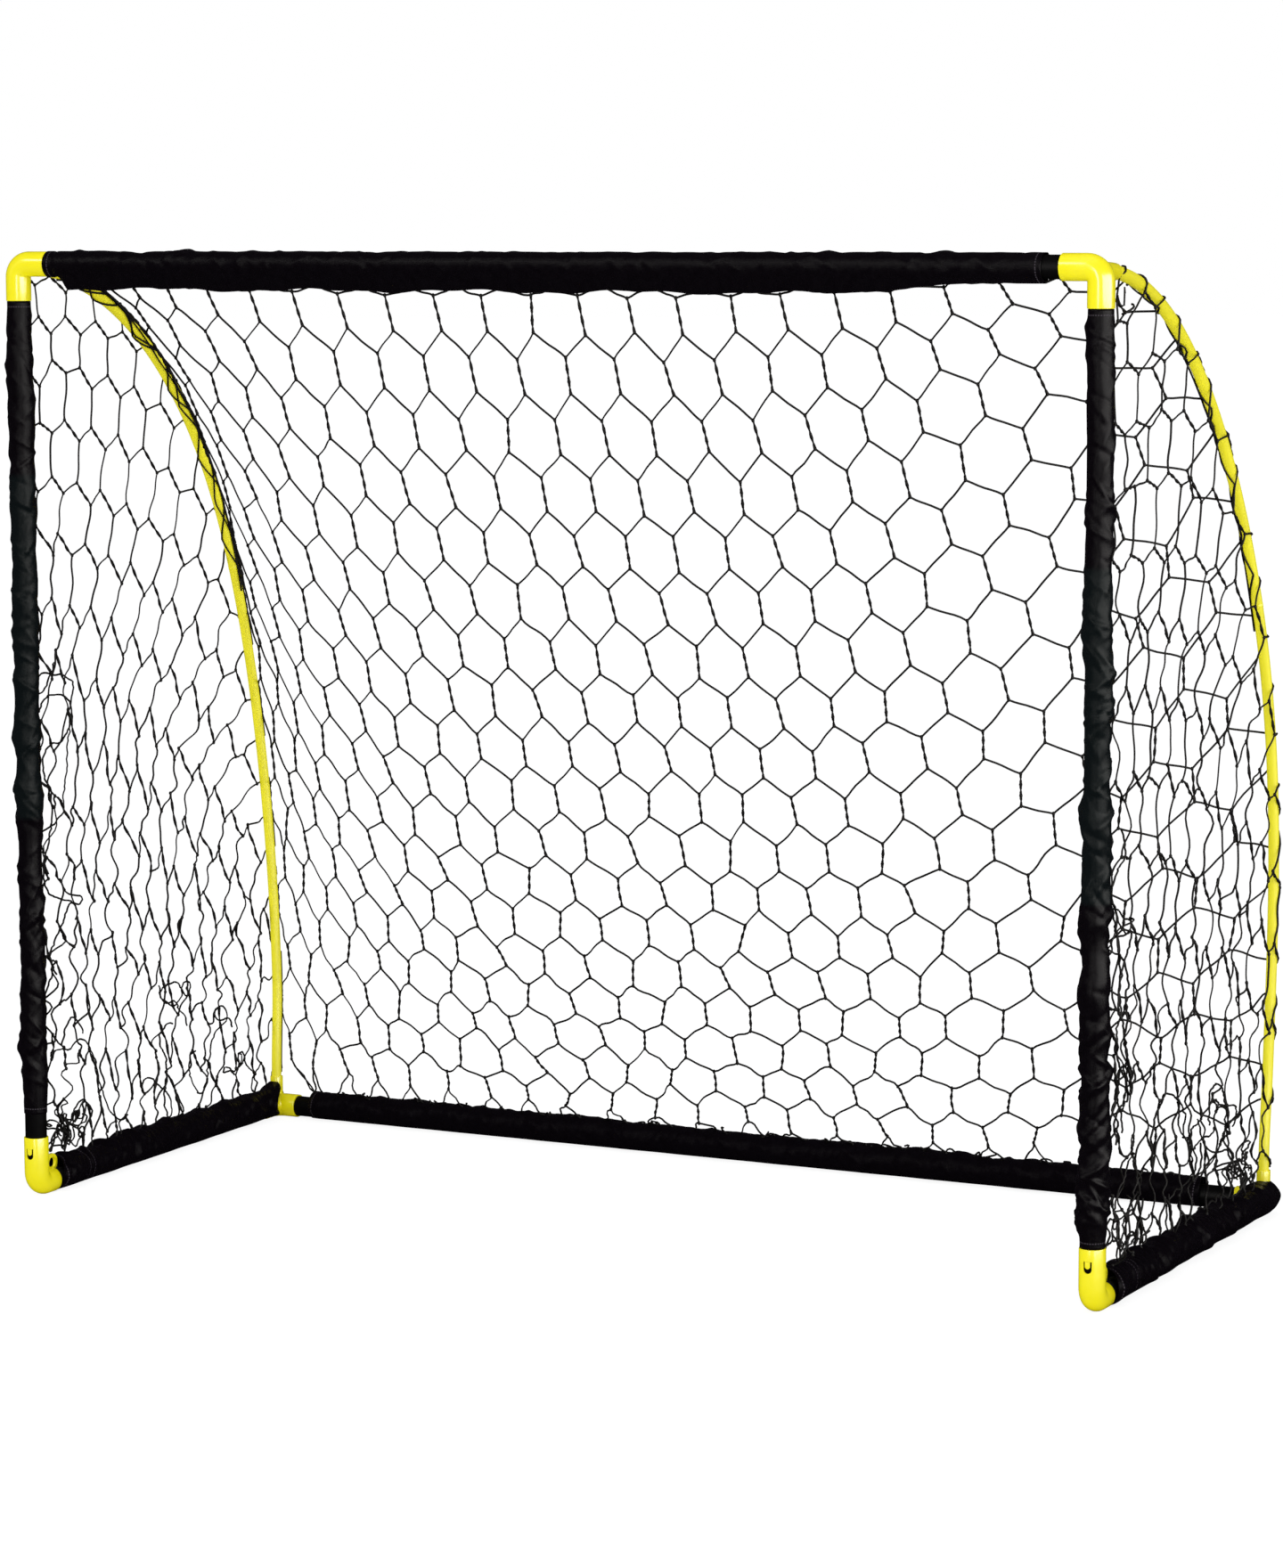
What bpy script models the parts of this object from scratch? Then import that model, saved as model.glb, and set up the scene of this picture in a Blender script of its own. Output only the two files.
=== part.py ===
"""Pop-up soccer goal, modelled piece by piece.

The mouth of the goal faces -Y, the crossbar lies along X and Z points up. The origin is on the
ground in the middle of the goal's outline. Pieces are drawn in goal coordinates, whose y is 0 in
the plane of the posts, and one empty carries them all to the origin.
"""

import math

import bmesh
import bpy
from mathutils import Matrix, Vector

# Driving dimensions of the frame, in metres
OVERALL_HEIGHT = 1.524
POST_SPACING = 1.830
BASE_DEPTH = 0.746
TUBE_OD = 0.0349
TUBE_WALL = 0.0012
FITTING_WALL = 0.0021
GAP = 0.0003
REST_FLAT_DEPTH = 0.0005

# Fittings: legs are measured from the point where the tube axes cross
INNER_CORNER_RADIUS = 0.001
SOCKET_WEB = 0.003
TOP_LEG = 0.058
FOOT_SOCKET_HEIGHT = 0.078
FOOT_LEG = 0.0425
REAR_LEG = 0.045
EYELET_OUTER_RADIUS = 0.0155
EYELET_HOLE_RADIUS = 0.0095
EYELET_THICKNESS = 0.005
EYELET_SINK = 0.008
EYELET_SETBACK = 0.041
EYELET_SLIT_WIDTH = 0.016

# Snap tongue in the front face of each foot elbow
WINDOW_WIDTH = 0.0127
WINDOW_HEIGHT = 0.0175
WINDOW_CENTRE_HEIGHT = 0.052
TONGUE_WIDTH = 0.0082
TONGUE_LENGTH = 0.0115
TONGUE_THICKNESS = 0.0018
BARB_RADIUS = 0.0028
BARB_DEPTH = 0.0022
BARB_CLEARANCE = 0.0006

# Spigots hidden inside the tubes where two halves meet
SPIGOT_LENGTH = 0.120
SPIGOT_WALL = 0.0015

# Fold hinge between each foot elbow and its side tube
PIVOT_SETBACK = 0.080
EAR_RADIUS = 0.012
EAR_THICKNESS = 0.005
BLADE_RADIUS = 0.010
BLADE_THICKNESS = 0.010
PIN_RADIUS = 0.004
PIN_HEAD_RADIUS = 0.0065
PIN_HEAD_THICKNESS = 0.0018
BRIDGE_CLEARANCE = 0.010
BLADE_REACH = 0.0175
PLUG_LENGTH = 0.025

# Flexible arch poles
POLE_OD = 0.0170
POLE_BUTT_OD = 0.0200
POLE_SOCKET_WALL = 0.0022
POLE_STUB_LENGTH = 0.050
POLE_STUB_DROP = 0.005
POLE_SEAT_SETBACK = 0.004
REAR_SOCKET_HEIGHT = 0.050
REAR_SOCKET_FLOOR = 0.004
POLE_JOINT_HEIGHT = 0.977
FERRULE_RADIUS = 0.0055
FERRULE_LENGTH = 0.070
ARCH_BELLY = 0.009
ARCH_BELLY_HEIGHT = 0.251
ARCH_POWER = 2.44
ARCH_BOW_OUT = 0.014

# Cloth sleeves: loose is the room round the tube, hang is how far the lower edge drops
SLEEVE_LOOSE = 0.0031
CROSSBAR_SLEEVE_HANG = 0.0170
BASE_SLEEVE_HEIGHT = 0.0510
BASE_SLEEVE_WIDTH = 0.0520
REAR_SLEEVE_HEIGHT = 0.0480
REAR_SLEEVE_WIDTH = 0.0480
GROUND_GAP = 0.0004
SLEEVE_DENT = 0.0016
GATHER_DENT = 0.0030
GATHER_PITCH = 0.052
GATHER_SHARE = 0.6
LONG_RING_SPACING = 0.115
CROSSBAR_BARE_RIGHT = 0.026
POST_BARE_LEFT = 0.040
REAR_BARE_LEFT = 0.033
REAR_BARE_RIGHT = 0.055
CUFF_LENGTH = 0.081

# Nets
NET_THICKNESS = 0.0026
NET_STRAND = 0.0040
NET_CLEARANCE = 0.0006
REAR_NET_COLUMNS = 22
REAR_NET_ROWS = 18
REAR_LEG_SHARE = 0.57
REAR_ROW_SHRINK = 0.74
REAR_HEAD_SHARE = 0.12
REAR_FOOT_SHARE = 0.30
SIDE_NET_COLUMNS = 5
SIDE_NET_ROWS = 8
SIDE_LEG_SHARE = 0.62
OUTER_CELL_SHARE = 0.75
NET_SAG_SETBACK = 0.392
NET_SAG_HEIGHT = 0.490
NET_SAG_STEPS = 24
NET_DRAW_POWER = 3.2
NET_CORNER_ROOM = 0.0023
NET_HEAD_ROOM = 0.0020
NET_FOOT_SINK = 0.0012
NET_DIP_POWER = 8
NET_PROBE = 0.002

# Facets
TUBE_SIDES = 16
FITTING_SIDES = 16
POLE_SIDES = 8
SLEEVE_SIDES = 12
PIN_SIDES = 10
BEND_STEPS = 4
ARCH_STEPS = 30
ARCH_FOOT_STEPS = 4
SEAT_STEPS = 3
WINDOW_STEPS = 6
SMOOTH_ANGLE = math.radians(32)

# How far a cutter runs past the face that it opens, and how far joined solids run into each other
CUT_OVERRUN = 0.030
JOIN_OVERLAP = 0.003
MERGE_DISTANCE = 1e-6

# Sizes that follow from the driving dimensions
TUBE_RADIUS = TUBE_OD / 2
BORE_RADIUS = TUBE_RADIUS - TUBE_WALL
FITTING_RADIUS = TUBE_RADIUS + GAP + FITTING_WALL
BEND_RADIUS = FITTING_RADIUS + INNER_CORNER_RADIUS
TUBE_STOP = FITTING_RADIUS + SOCKET_WEB
HALF_WIDTH = POST_SPACING / 2
BASE_Z = FITTING_RADIUS - REST_FLAT_DEPTH
POST_SLEEVE_RADIUS = TUBE_RADIUS + SLEEVE_LOOSE
FRONT_REACH = max(FITTING_RADIUS, POST_SLEEVE_RADIUS)
BAR_Z = OVERALL_HEIGHT - FRONT_REACH
SPIGOT_RADIUS = BORE_RADIUS - GAP
FORK_RADIUS = TUBE_RADIUS + GAP / 2
BRIDGE_END = PIVOT_SETBACK - BLADE_RADIUS - BRIDGE_CLEARANCE
ARCH_TOP_Z = BAR_Z - POLE_STUB_DROP
ARCH_REACH = BASE_DEPTH + ARCH_BELLY
REAR_SOCKET_TOP = BASE_Z + REAR_SOCKET_HEIGHT
TONGUE_TOP = BASE_Z + WINDOW_CENTRE_HEIGHT + WINDOW_HEIGHT / 2 - GAP
TONGUE_HINGE_Y = -(FITTING_RADIUS - TONGUE_THICKNESS / 2)
NET_OFFSET = NET_CLEARANCE + NET_THICKNESS / 2
REAR_REACH = max(
    BASE_DEPTH + FITTING_RADIUS,
    BASE_DEPTH + REAR_SLEEVE_WIDTH / 2,
    ARCH_REACH + POLE_OD / 2 + NET_CLEARANCE + NET_THICKNESS,
)
POST_Y = (FRONT_REACH - REAR_REACH) / 2

X_AXIS = Vector((1, 0, 0))
Y_AXIS = Vector((0, 1, 0))
Z_AXIS = Vector((0, 0, 1))
SIDES = (("left", -1), ("right", 1))


# Scene, materials and nodes


def clear_scene():
    """Remove every object that the file opened with."""
    for thing in list(bpy.data.objects):
        bpy.data.objects.remove(thing, do_unlink=True)


def make_material(name, colour, roughness, metallic=0.0):
    """Make a Principled material from a linear colour."""
    material = bpy.data.materials.new(name)
    material.use_nodes = True
    shader = material.node_tree.nodes["Principled BSDF"]
    shader.inputs["Base Color"].default_value = (*colour, 1.0)
    shader.inputs["Roughness"].default_value = roughness
    shader.inputs["Metallic"].default_value = metallic
    return material


def make_empty(name, place, parent=None):
    """Add an empty at a place in goal coordinates."""
    empty = bpy.data.objects.new(name, None)
    empty.empty_display_size = 0.05
    bpy.context.scene.collection.objects.link(empty)
    empty.parent = parent
    empty["place"] = tuple(place)
    start = Vector(parent["place"]) if parent else Vector((0, 0, 0))
    empty.location = Vector(place) - start
    return empty


def add_node(name, solid, material, parent):
    """Turn a bmesh in goal coordinates into a named object whose origin is its parent's place."""
    bmesh.ops.remove_doubles(solid, verts=solid.verts, dist=MERGE_DISTANCE)
    bmesh.ops.recalc_face_normals(solid, faces=solid.faces)
    solid.transform(Matrix.Translation(-Vector(parent["place"])))
    mesh = bpy.data.meshes.new(name)
    solid.to_mesh(mesh)
    solid.free()
    mesh.materials.append(material)
    mesh.shade_smooth()
    mesh.set_sharp_from_angle(angle=SMOOTH_ANGLE)
    node = bpy.data.objects.new(name, mesh)
    bpy.context.scene.collection.objects.link(node)
    node.parent = parent
    return node


# Solids


def circle(centre, across, up, radius, sides):
    """Points of a circle in the plane of two directions."""
    points = []
    for step in range(sides):
        angle = 2 * math.pi * step / sides
        points.append(centre + radius * (math.cos(angle) * across + math.sin(angle) * up))
    return points


def path_frames(path, side, start_along=None, end_along=None):
    """Give each point of a path two directions square to it, the first one near to side."""
    last = len(path) - 1
    frames = []
    for index, point in enumerate(path):
        tangent = path[min(index + 1, last)] - path[max(index - 1, 0)]
        if index == 0 and start_along:
            tangent = start_along
        if index == last and end_along:
            tangent = end_along
        tangent = tangent.normalized()
        up = tangent.cross(side).normalized()
        across = up.cross(tangent).normalized()
        frames.append((point, across, up))
    return frames


def loft(rings):
    """Join rings of points into one closed solid with a cap on each end."""
    solid = bmesh.new()
    loops = [[solid.verts.new(point) for point in ring] for ring in rings]
    sides = len(rings[0])
    for first, second in zip(loops, loops[1:]):
        for step in range(sides):
            after = (step + 1) % sides
            solid.faces.new((first[step], first[after], second[after], second[step]))
    solid.faces.new(loops[0])
    solid.faces.new(loops[-1])
    bmesh.ops.recalc_face_normals(solid, faces=solid.faces)
    return solid


def sweep(path, radius, sides, side, start_along=None, end_along=None):
    """Sweep a circle along a path; radius may be a number or a function of the path's index."""
    rings = []
    for index, (point, across, up) in enumerate(path_frames(path, side, start_along, end_along)):
        reach = radius(index) if callable(radius) else radius
        rings.append(circle(point, across, up, reach, sides))
    return loft(rings)


def rod(start, end, radius, sides):
    """A straight solid rod."""
    start, end = Vector(start), Vector(end)
    side = X_AXIS if abs((end - start).normalized().x) < 0.9 else Y_AXIS
    return sweep([start, end], radius, sides, side)


def pipe(start, end, outer, inner, sides):
    """A straight tube with open ends."""
    start, end = Vector(start), Vector(end)
    side = X_AXIS if abs((end - start).normalized().x) < 0.9 else Y_AXIS
    frames = path_frames([start, end], side)
    solid = bmesh.new()
    loops = []
    for radius, order in ((outer, frames), (inner, frames[::-1])):
        for point, across, up in order:
            ring = circle(point, across, up, radius, sides)
            loops.append([solid.verts.new(spot) for spot in ring])
    for first, second in zip(loops, loops[1:] + loops[:1]):
        for step in range(sides):
            after = (step + 1) % sides
            solid.faces.new((first[step], first[after], second[after], second[step]))
    bmesh.ops.recalc_face_normals(solid, faces=solid.faces)
    return solid


def box(low, high):
    """A box between two corners."""
    low, high = Vector(low), Vector(high)
    solid = bmesh.new()
    bmesh.ops.create_cube(solid, size=1.0)
    solid.transform(Matrix.Diagonal((*(high - low), 1.0)))
    solid.transform(Matrix.Translation((low + high) / 2))
    return solid


def prism(outline, direction, depth):
    """Extrude a flat outline of points along a direction."""
    shift = Vector(direction) * depth
    return loft([outline, [point + shift for point in outline]])


def combine(base, other, operation):
    """Join two solids, or cut the first by the second, and return the result."""
    scratch = []
    for name, solid in (("base", base), ("other", other)):
        mesh = bpy.data.meshes.new(name)
        solid.to_mesh(mesh)
        solid.free()
        thing = bpy.data.objects.new(name, mesh)
        bpy.context.scene.collection.objects.link(thing)
        scratch.append(thing)
    modifier = scratch[0].modifiers.new("combine", "BOOLEAN")
    modifier.solver = "EXACT"
    modifier.operation = operation
    modifier.object = scratch[1]
    result = bmesh.new()
    result.from_object(scratch[0], bpy.context.evaluated_depsgraph_get())
    for thing in scratch:
        mesh = thing.data
        bpy.data.objects.remove(thing, do_unlink=True)
        bpy.data.meshes.remove(mesh)
    bmesh.ops.remove_doubles(result, verts=result.verts, dist=MERGE_DISTANCE)
    return result


def cut(base, *cutters):
    """Cut a solid with one or more others."""
    for cutter in cutters:
        base = combine(base, cutter, "DIFFERENCE")
    return base


def join(base, *others):
    """Fuse a solid with one or more others."""
    for other in others:
        base = combine(base, other, "UNION")
    return base


# Frame fittings


def bend_path(start, corner, end):
    """Two straight legs and the arc that joins them."""
    start, corner, end = Vector(start), Vector(corner), Vector(end)
    inward = (start - corner).normalized()
    outward = (end - corner).normalized()
    centre = corner + BEND_RADIUS * (inward + outward)
    path = [start]
    for step in range(BEND_STEPS + 1):
        angle = 0.5 * math.pi * step / BEND_STEPS
        path.append(centre - BEND_RADIUS * (outward * math.cos(angle) + inward * math.sin(angle)))
    path.append(end)
    return path


def elbow_body(start, corner, end):
    """The outer body of a two-legged elbow, before its sockets are bored."""
    start, corner, end = Vector(start), Vector(corner), Vector(end)
    side = (start - corner).cross(end - corner).normalized()
    return sweep(bend_path(start, corner, end), FITTING_RADIUS, FITTING_SIDES, side)


def socket_cutter(corner, direction, leg, radius):
    """A bore that runs from a leg's mouth down to the stop near the corner."""
    corner, direction = Vector(corner), Vector(direction)
    mouth = corner + direction * (leg + CUT_OVERRUN)
    return rod(corner + direction * TUBE_STOP, mouth, radius, TUBE_SIDES)


def arch_point(height, hand):
    """The centre of an arch pole at a height, on one hand of the goal."""
    above = max(height - ARCH_BELLY_HEIGHT, 0.0) / (ARCH_TOP_Z - ARCH_BELLY_HEIGHT)
    reach = ARCH_REACH * math.sqrt(max(1.0 - above**ARCH_POWER, 0.0))
    if height < ARCH_BELLY_HEIGHT:
        below = (ARCH_BELLY_HEIGHT - height) / (ARCH_BELLY_HEIGHT - REAR_SOCKET_TOP)
        reach -= ARCH_BELLY * (1 - math.cos(math.pi * min(below, 1.0))) / 2
    span = (height - REAR_SOCKET_TOP) / (ARCH_TOP_Z - REAR_SOCKET_TOP)
    bow = ARCH_BOW_OUT * math.sin(math.pi * min(max(span, 0.0), 1.0)) ** 2
    return Vector((hand * (HALF_WIDTH + bow), reach, height))


def arch_height(reach):
    """The height at which an arch pole's upper curve is a given distance behind the posts."""
    share = 1.0 - (reach / ARCH_REACH) ** 2
    return ARCH_BELLY_HEIGHT + (ARCH_TOP_Z - ARCH_BELLY_HEIGHT) * share ** (1 / ARCH_POWER)


def arch_heights(high, low, steps):
    """Heights between two limits, spaced so that their points on the arch are even."""
    span = ARCH_TOP_Z - ARCH_BELLY_HEIGHT
    heights = []
    start = math.acos(min(max((high - ARCH_BELLY_HEIGHT) / span, 0.0), 1.0))
    end = math.acos(min(max((low - ARCH_BELLY_HEIGHT) / span, 0.0), 1.0))
    for step in range(steps + 1):
        angle = start + (end - start) * step / steps
        heights.append(ARCH_BELLY_HEIGHT + span * math.cos(angle))
    return heights


def arch_path(hand, high, low):
    """Points along an arch pole's centre, from one height down to another."""
    heights = []
    if high > ARCH_BELLY_HEIGHT:
        share = (high - max(low, ARCH_BELLY_HEIGHT)) / (ARCH_TOP_Z - ARCH_BELLY_HEIGHT)
        heights += arch_heights(high, max(low, ARCH_BELLY_HEIGHT), max(3, round(ARCH_STEPS * share / 2)))
    if low < ARCH_BELLY_HEIGHT:
        first = min(high, ARCH_BELLY_HEIGHT)
        for step in range(1, ARCH_FOOT_STEPS + 1):
            heights.append(first + (low - first) * step / ARCH_FOOT_STEPS)
    return [arch_point(height, hand) for height in heights]


def pole_radius(height):
    """A pole is thickest at its butt in the top corner and even below its joint."""
    share = min(max((height - POLE_JOINT_HEIGHT) / (ARCH_TOP_Z - POLE_JOINT_HEIGHT), 0.0), 1.0)
    return (POLE_OD + (POLE_BUTT_OD - POLE_OD) * share**2) / 2


def seat_path(hand, start, end):
    """The pole's centre line inside the top corner, between two distances behind the posts."""
    path = []
    for step in range(SEAT_STEPS + 1):
        reach = start + (end - start) * step / SEAT_STEPS
        path.append(Vector((hand * HALF_WIDTH, reach, arch_height(reach))))
    return path


def make_top_corner(hand):
    """Three-way corner: crossbar socket, post socket and the stub that holds an arch pole."""
    corner = Vector((hand * HALF_WIDTH, 0, BAR_Z))
    inward = Vector((-hand, 0, 0))
    body = elbow_body(corner + inward * TOP_LEG, corner, corner - Z_AXIS * TOP_LEG)
    butt = POLE_BUTT_OD / 2
    stub = sweep(seat_path(hand, 0, POLE_STUB_LENGTH), butt + GAP + POLE_SOCKET_WALL, FITTING_SIDES, X_AXIS)
    way = seat_path(hand, POLE_SEAT_SETBACK, POLE_STUB_LENGTH + CUT_OVERRUN)
    bore = sweep(way, butt + GAP, POLE_SIDES, X_AXIS)
    body = join(body, stub)
    return cut(
        body,
        socket_cutter(corner, inward, TOP_LEG, TUBE_RADIUS + GAP),
        socket_cutter(corner, -Z_AXIS, TOP_LEG, TUBE_RADIUS + GAP),
        bore,
    )


def window_outline(hand, width, top, bottom, depth):
    """A straight-sided outline with a round lower end, facing the front."""
    centre = hand * HALF_WIDTH
    radius = width / 2
    outline = [Vector((centre - radius, depth, top)), Vector((centre + radius, depth, top))]
    for step in range(WINDOW_STEPS + 1):
        angle = math.pi * step / WINDOW_STEPS
        across = centre + radius * math.cos(angle)
        outline.append(Vector((across, depth, bottom + radius - radius * math.sin(angle))))
    return outline[::-1]


def make_foot_elbow(hand):
    """Front foot: post socket, hinge socket, eyelet in the crook and window for the snap tongue."""
    corner = Vector((hand * HALF_WIDTH, 0, BASE_Z))
    body = elbow_body(corner + Z_AXIS * FOOT_SOCKET_HEIGHT, corner, corner + Y_AXIS * FOOT_LEG)
    eyelet_z = BASE_Z + FITTING_RADIUS - EYELET_SINK + EYELET_OUTER_RADIUS
    left = Vector((corner.x - EYELET_THICKNESS / 2, EYELET_SETBACK, eyelet_z))
    right = left + X_AXIS * EYELET_THICKNESS
    body = join(body, rod(left, right, EYELET_OUTER_RADIUS, FITTING_SIDES))
    overrun = X_AXIS * EYELET_THICKNESS
    hole = rod(left - overrun, right + overrun, EYELET_HOLE_RADIUS, TUBE_SIDES)
    top = BASE_Z + WINDOW_CENTRE_HEIGHT + WINDOW_HEIGHT / 2
    outline = window_outline(hand, WINDOW_WIDTH, top, top - WINDOW_HEIGHT, -2 * FITTING_RADIUS)
    window = prism(outline, Y_AXIS, 2 * FITTING_RADIUS - TUBE_RADIUS / 2)
    return cut(
        body,
        socket_cutter(corner, Z_AXIS, FOOT_SOCKET_HEIGHT, TUBE_RADIUS + GAP),
        socket_cutter(corner, Y_AXIS, FOOT_LEG, FORK_RADIUS + GAP),
        keep_above_leg(hole),
        window,
        ground_cutter(),
    )


def keep_above_leg(hole):
    """The eyelet's hole stops above the leg, whose wall it would break."""
    floor = BASE_Z + FITTING_RADIUS + GAP
    deep = 10 * EYELET_OUTER_RADIUS
    low = (-2 * HALF_WIDTH, -deep, floor - deep)
    high = (2 * HALF_WIDTH, deep, floor)
    return cut(hole, box(low, high))


def ground_cutter():
    """Everything below the ground, which leaves a flat on each round fitting."""
    reach = 2 * max(HALF_WIDTH, BASE_DEPTH)
    return box((-reach, -reach, -reach), (reach, reach, 0.0))


def make_snap_tongue(hand):
    """Springy tongue whose barb locks in the post, moulded in the elbow's window."""
    front = -FITTING_RADIUS
    outline = window_outline(hand, TONGUE_WIDTH, TONGUE_TOP, TONGUE_TOP - TONGUE_LENGTH, front)
    plate = prism(outline, Y_AXIS, TONGUE_THICKNESS)
    centre = Vector((hand * HALF_WIDTH, front + TONGUE_THICKNESS / 2, barb_height()))
    barb = rod(centre, centre + Y_AXIS * (TONGUE_THICKNESS / 2 + BARB_DEPTH), BARB_RADIUS, PIN_SIDES)
    return join(plate, barb)


def barb_height():
    """The barb sits in the round end of the tongue."""
    return TONGUE_TOP - TONGUE_LENGTH + TONGUE_WIDTH / 2


def make_rear_corner(hand):
    """Three-way corner on the ground: side tube, rear tube and upright pole socket."""
    corner = Vector((hand * HALF_WIDTH, BASE_DEPTH, BASE_Z))
    inward = Vector((-hand, 0, 0))
    body = elbow_body(corner - Y_AXIS * REAR_LEG, corner, corner + inward * REAR_LEG)
    socket_radius = POLE_OD / 2 + GAP + POLE_SOCKET_WALL
    top = corner + Z_AXIS * REAR_SOCKET_HEIGHT
    floor = corner + Z_AXIS * REAR_SOCKET_FLOOR
    body = join(body, rod(corner, top, socket_radius, FITTING_SIDES))
    return cut(
        body,
        socket_cutter(corner, -Y_AXIS, REAR_LEG, TUBE_RADIUS + GAP),
        socket_cutter(corner, inward, REAR_LEG, TUBE_RADIUS + GAP),
        rod(floor, top + Z_AXIS * CUT_OVERRUN, POLE_OD / 2 + GAP, POLE_SIDES),
        ground_cutter(),
    )


# Tubes and spigots


def tube(start, end):
    """A piece of frame tube."""
    return pipe(start, end, TUBE_RADIUS, BORE_RADIUS, TUBE_SIDES)


def spigot(centre, direction):
    """The sleeve inside two tube halves."""
    half = Vector(direction) * SPIGOT_LENGTH / 2
    centre = Vector(centre)
    return pipe(centre - half, centre + half, SPIGOT_RADIUS, SPIGOT_RADIUS - SPIGOT_WALL, TUBE_SIDES)


def make_lower_post(hand):
    """The lower half of a post, with the round hole that the snap tongue's barb sits in."""
    x = hand * HALF_WIDTH
    body = tube((x, 0, BASE_Z + TUBE_STOP + GAP), (x, 0, post_joint_height() - GAP / 2))
    place = Vector((x, -BORE_RADIUS / 2, barb_height()))
    hole = rod(place, place - Y_AXIS * TUBE_OD, BARB_RADIUS + BARB_CLEARANCE, PIN_SIDES)
    return cut(body, hole)


def post_joint_height():
    """The two halves of a post meet halfway up."""
    return (BASE_Z + BAR_Z) / 2


# Fold hinge


def rounded_slab(x_low, x_high, centre, radius, far_y):
    """A slab round one end of a transverse pin, which runs back or forward to far_y."""
    low = Vector((x_low, centre.y, centre.z))
    disc = rod(low, low + X_AXIS * (x_high - x_low), radius, FITTING_SIDES)
    near, far = sorted((centre.y, far_y))
    return join(disc, box((x_low, near, centre.z - radius), (x_high, far, centre.z + radius)))


def pivot_point(hand):
    """Where a side tube's fold pin crosses its axis."""
    return Vector((hand * HALF_WIDTH, PIVOT_SETBACK, BASE_Z))


def make_hinge_fork(hand):
    """Plug in the foot elbow's rear socket, with two ears for the fold pin."""
    pivot = pivot_point(hand)
    start = Vector((pivot.x, TUBE_STOP + GAP, BASE_Z))
    body = rod(start, (pivot.x, BRIDGE_END, BASE_Z), FORK_RADIUS, TUBE_SIDES)
    inner = BLADE_THICKNESS / 2 + GAP
    for ear_hand in (-1, 1):
        edges = sorted((ear_hand * inner, ear_hand * (inner + EAR_THICKNESS)))
        body = join(
            body,
            rounded_slab(pivot.x + edges[0], pivot.x + edges[1], pivot, EAR_RADIUS, BRIDGE_END - JOIN_OVERLAP),
        )
    return cut(body, pin_bore(pivot))


def make_hinge_blade(hand):
    """Blade between the fork's ears, with a plug that fills the front of the side tube."""
    pivot = pivot_point(hand)
    face = pivot.y + BLADE_REACH
    half = BLADE_THICKNESS / 2
    blade = rounded_slab(pivot.x - half, pivot.x + half, pivot, BLADE_RADIUS, face + JOIN_OVERLAP)
    plug = rod((pivot.x, face, BASE_Z), (pivot.x, face + PLUG_LENGTH, BASE_Z), SPIGOT_RADIUS, TUBE_SIDES)
    return cut(join(blade, plug), pin_bore(pivot))


def pin_bore(pivot):
    """The hole for the fold pin."""
    reach = X_AXIS * TUBE_OD
    return rod(pivot - reach, pivot + reach, PIN_RADIUS + GAP, PIN_SIDES)


def make_hinge_pin(hand):
    """Fold pin with a head on each end."""
    pivot = pivot_point(hand)
    grip = BLADE_THICKNESS / 2 + GAP + EAR_THICKNESS + GAP
    body = rod(pivot - X_AXIS * grip, pivot + X_AXIS * grip, PIN_RADIUS, PIN_SIDES)
    for head_hand in (-1, 1):
        inner = pivot + X_AXIS * head_hand * (grip - 0.1 * GAP)
        outer = pivot + X_AXIS * head_hand * (grip + PIN_HEAD_THICKNESS)
        body = join(body, rod(inner, outer, PIN_HEAD_RADIUS, PIN_SIDES))
    return body


# Arch poles


def make_upper_pole(hand):
    """Upper half of an arch pole, from its seat in the top corner to the joint."""
    seat = seat_path(hand, POLE_SEAT_SETBACK + GAP, POLE_STUB_LENGTH)
    path = seat + arch_path(hand, arch_height(POLE_STUB_LENGTH), POLE_JOINT_HEIGHT + GAP / 2)[1:]
    body = sweep(
        path,
        lambda index: pole_radius(path[index].z),
        POLE_SIDES,
        X_AXIS,
        end_along=-joint_direction(hand),
    )
    return cut(body, ferrule_rod(hand, GAP))


def make_lower_pole(hand):
    """Lower half of an arch pole, from the joint down into the rear corner."""
    path = arch_path(hand, POLE_JOINT_HEIGHT - GAP / 2, REAR_SOCKET_TOP)
    path.append(Vector((hand * HALF_WIDTH, BASE_DEPTH, BASE_Z + REAR_SOCKET_FLOOR + GAP)))
    body = sweep(path, POLE_OD / 2, POLE_SIDES, X_AXIS, start_along=-joint_direction(hand))
    return cut(body, ferrule_rod(hand, GAP))


def joint_direction(hand):
    """The direction of a pole, upward, where its two halves meet."""
    step = FERRULE_LENGTH / 20
    above = arch_point(POLE_JOINT_HEIGHT + step, hand)
    below = arch_point(POLE_JOINT_HEIGHT - step, hand)
    return (above - below).normalized()


def ferrule_rod(hand, extra):
    """The straight rod that joins the two halves of a pole, or the bore for it."""
    centre = arch_point(POLE_JOINT_HEIGHT, hand)
    half = joint_direction(hand) * (FERRULE_LENGTH / 2 + extra)
    return rod(centre - half, centre + half, FERRULE_RADIUS + extra, POLE_SIDES)


# Cloth sleeves


def ripple(place, angle):
    """A smooth made-up pattern between 0 and 1 for creases in cloth, from two crossing waves."""
    wave = math.sin(41 * place + 2 * angle) + math.sin(67 * place - 3 * angle)
    return 0.5 + 0.25 * wave


def bored(body, start, end, radius):
    """Open a sleeve along the tube that runs through it."""
    start, end = Vector(start), Vector(end)
    overrun = (end - start).normalized() * CUT_OVERRUN
    return cut(body, rod(start - overrun, end + overrun, radius, TUBE_SIDES))


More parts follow.
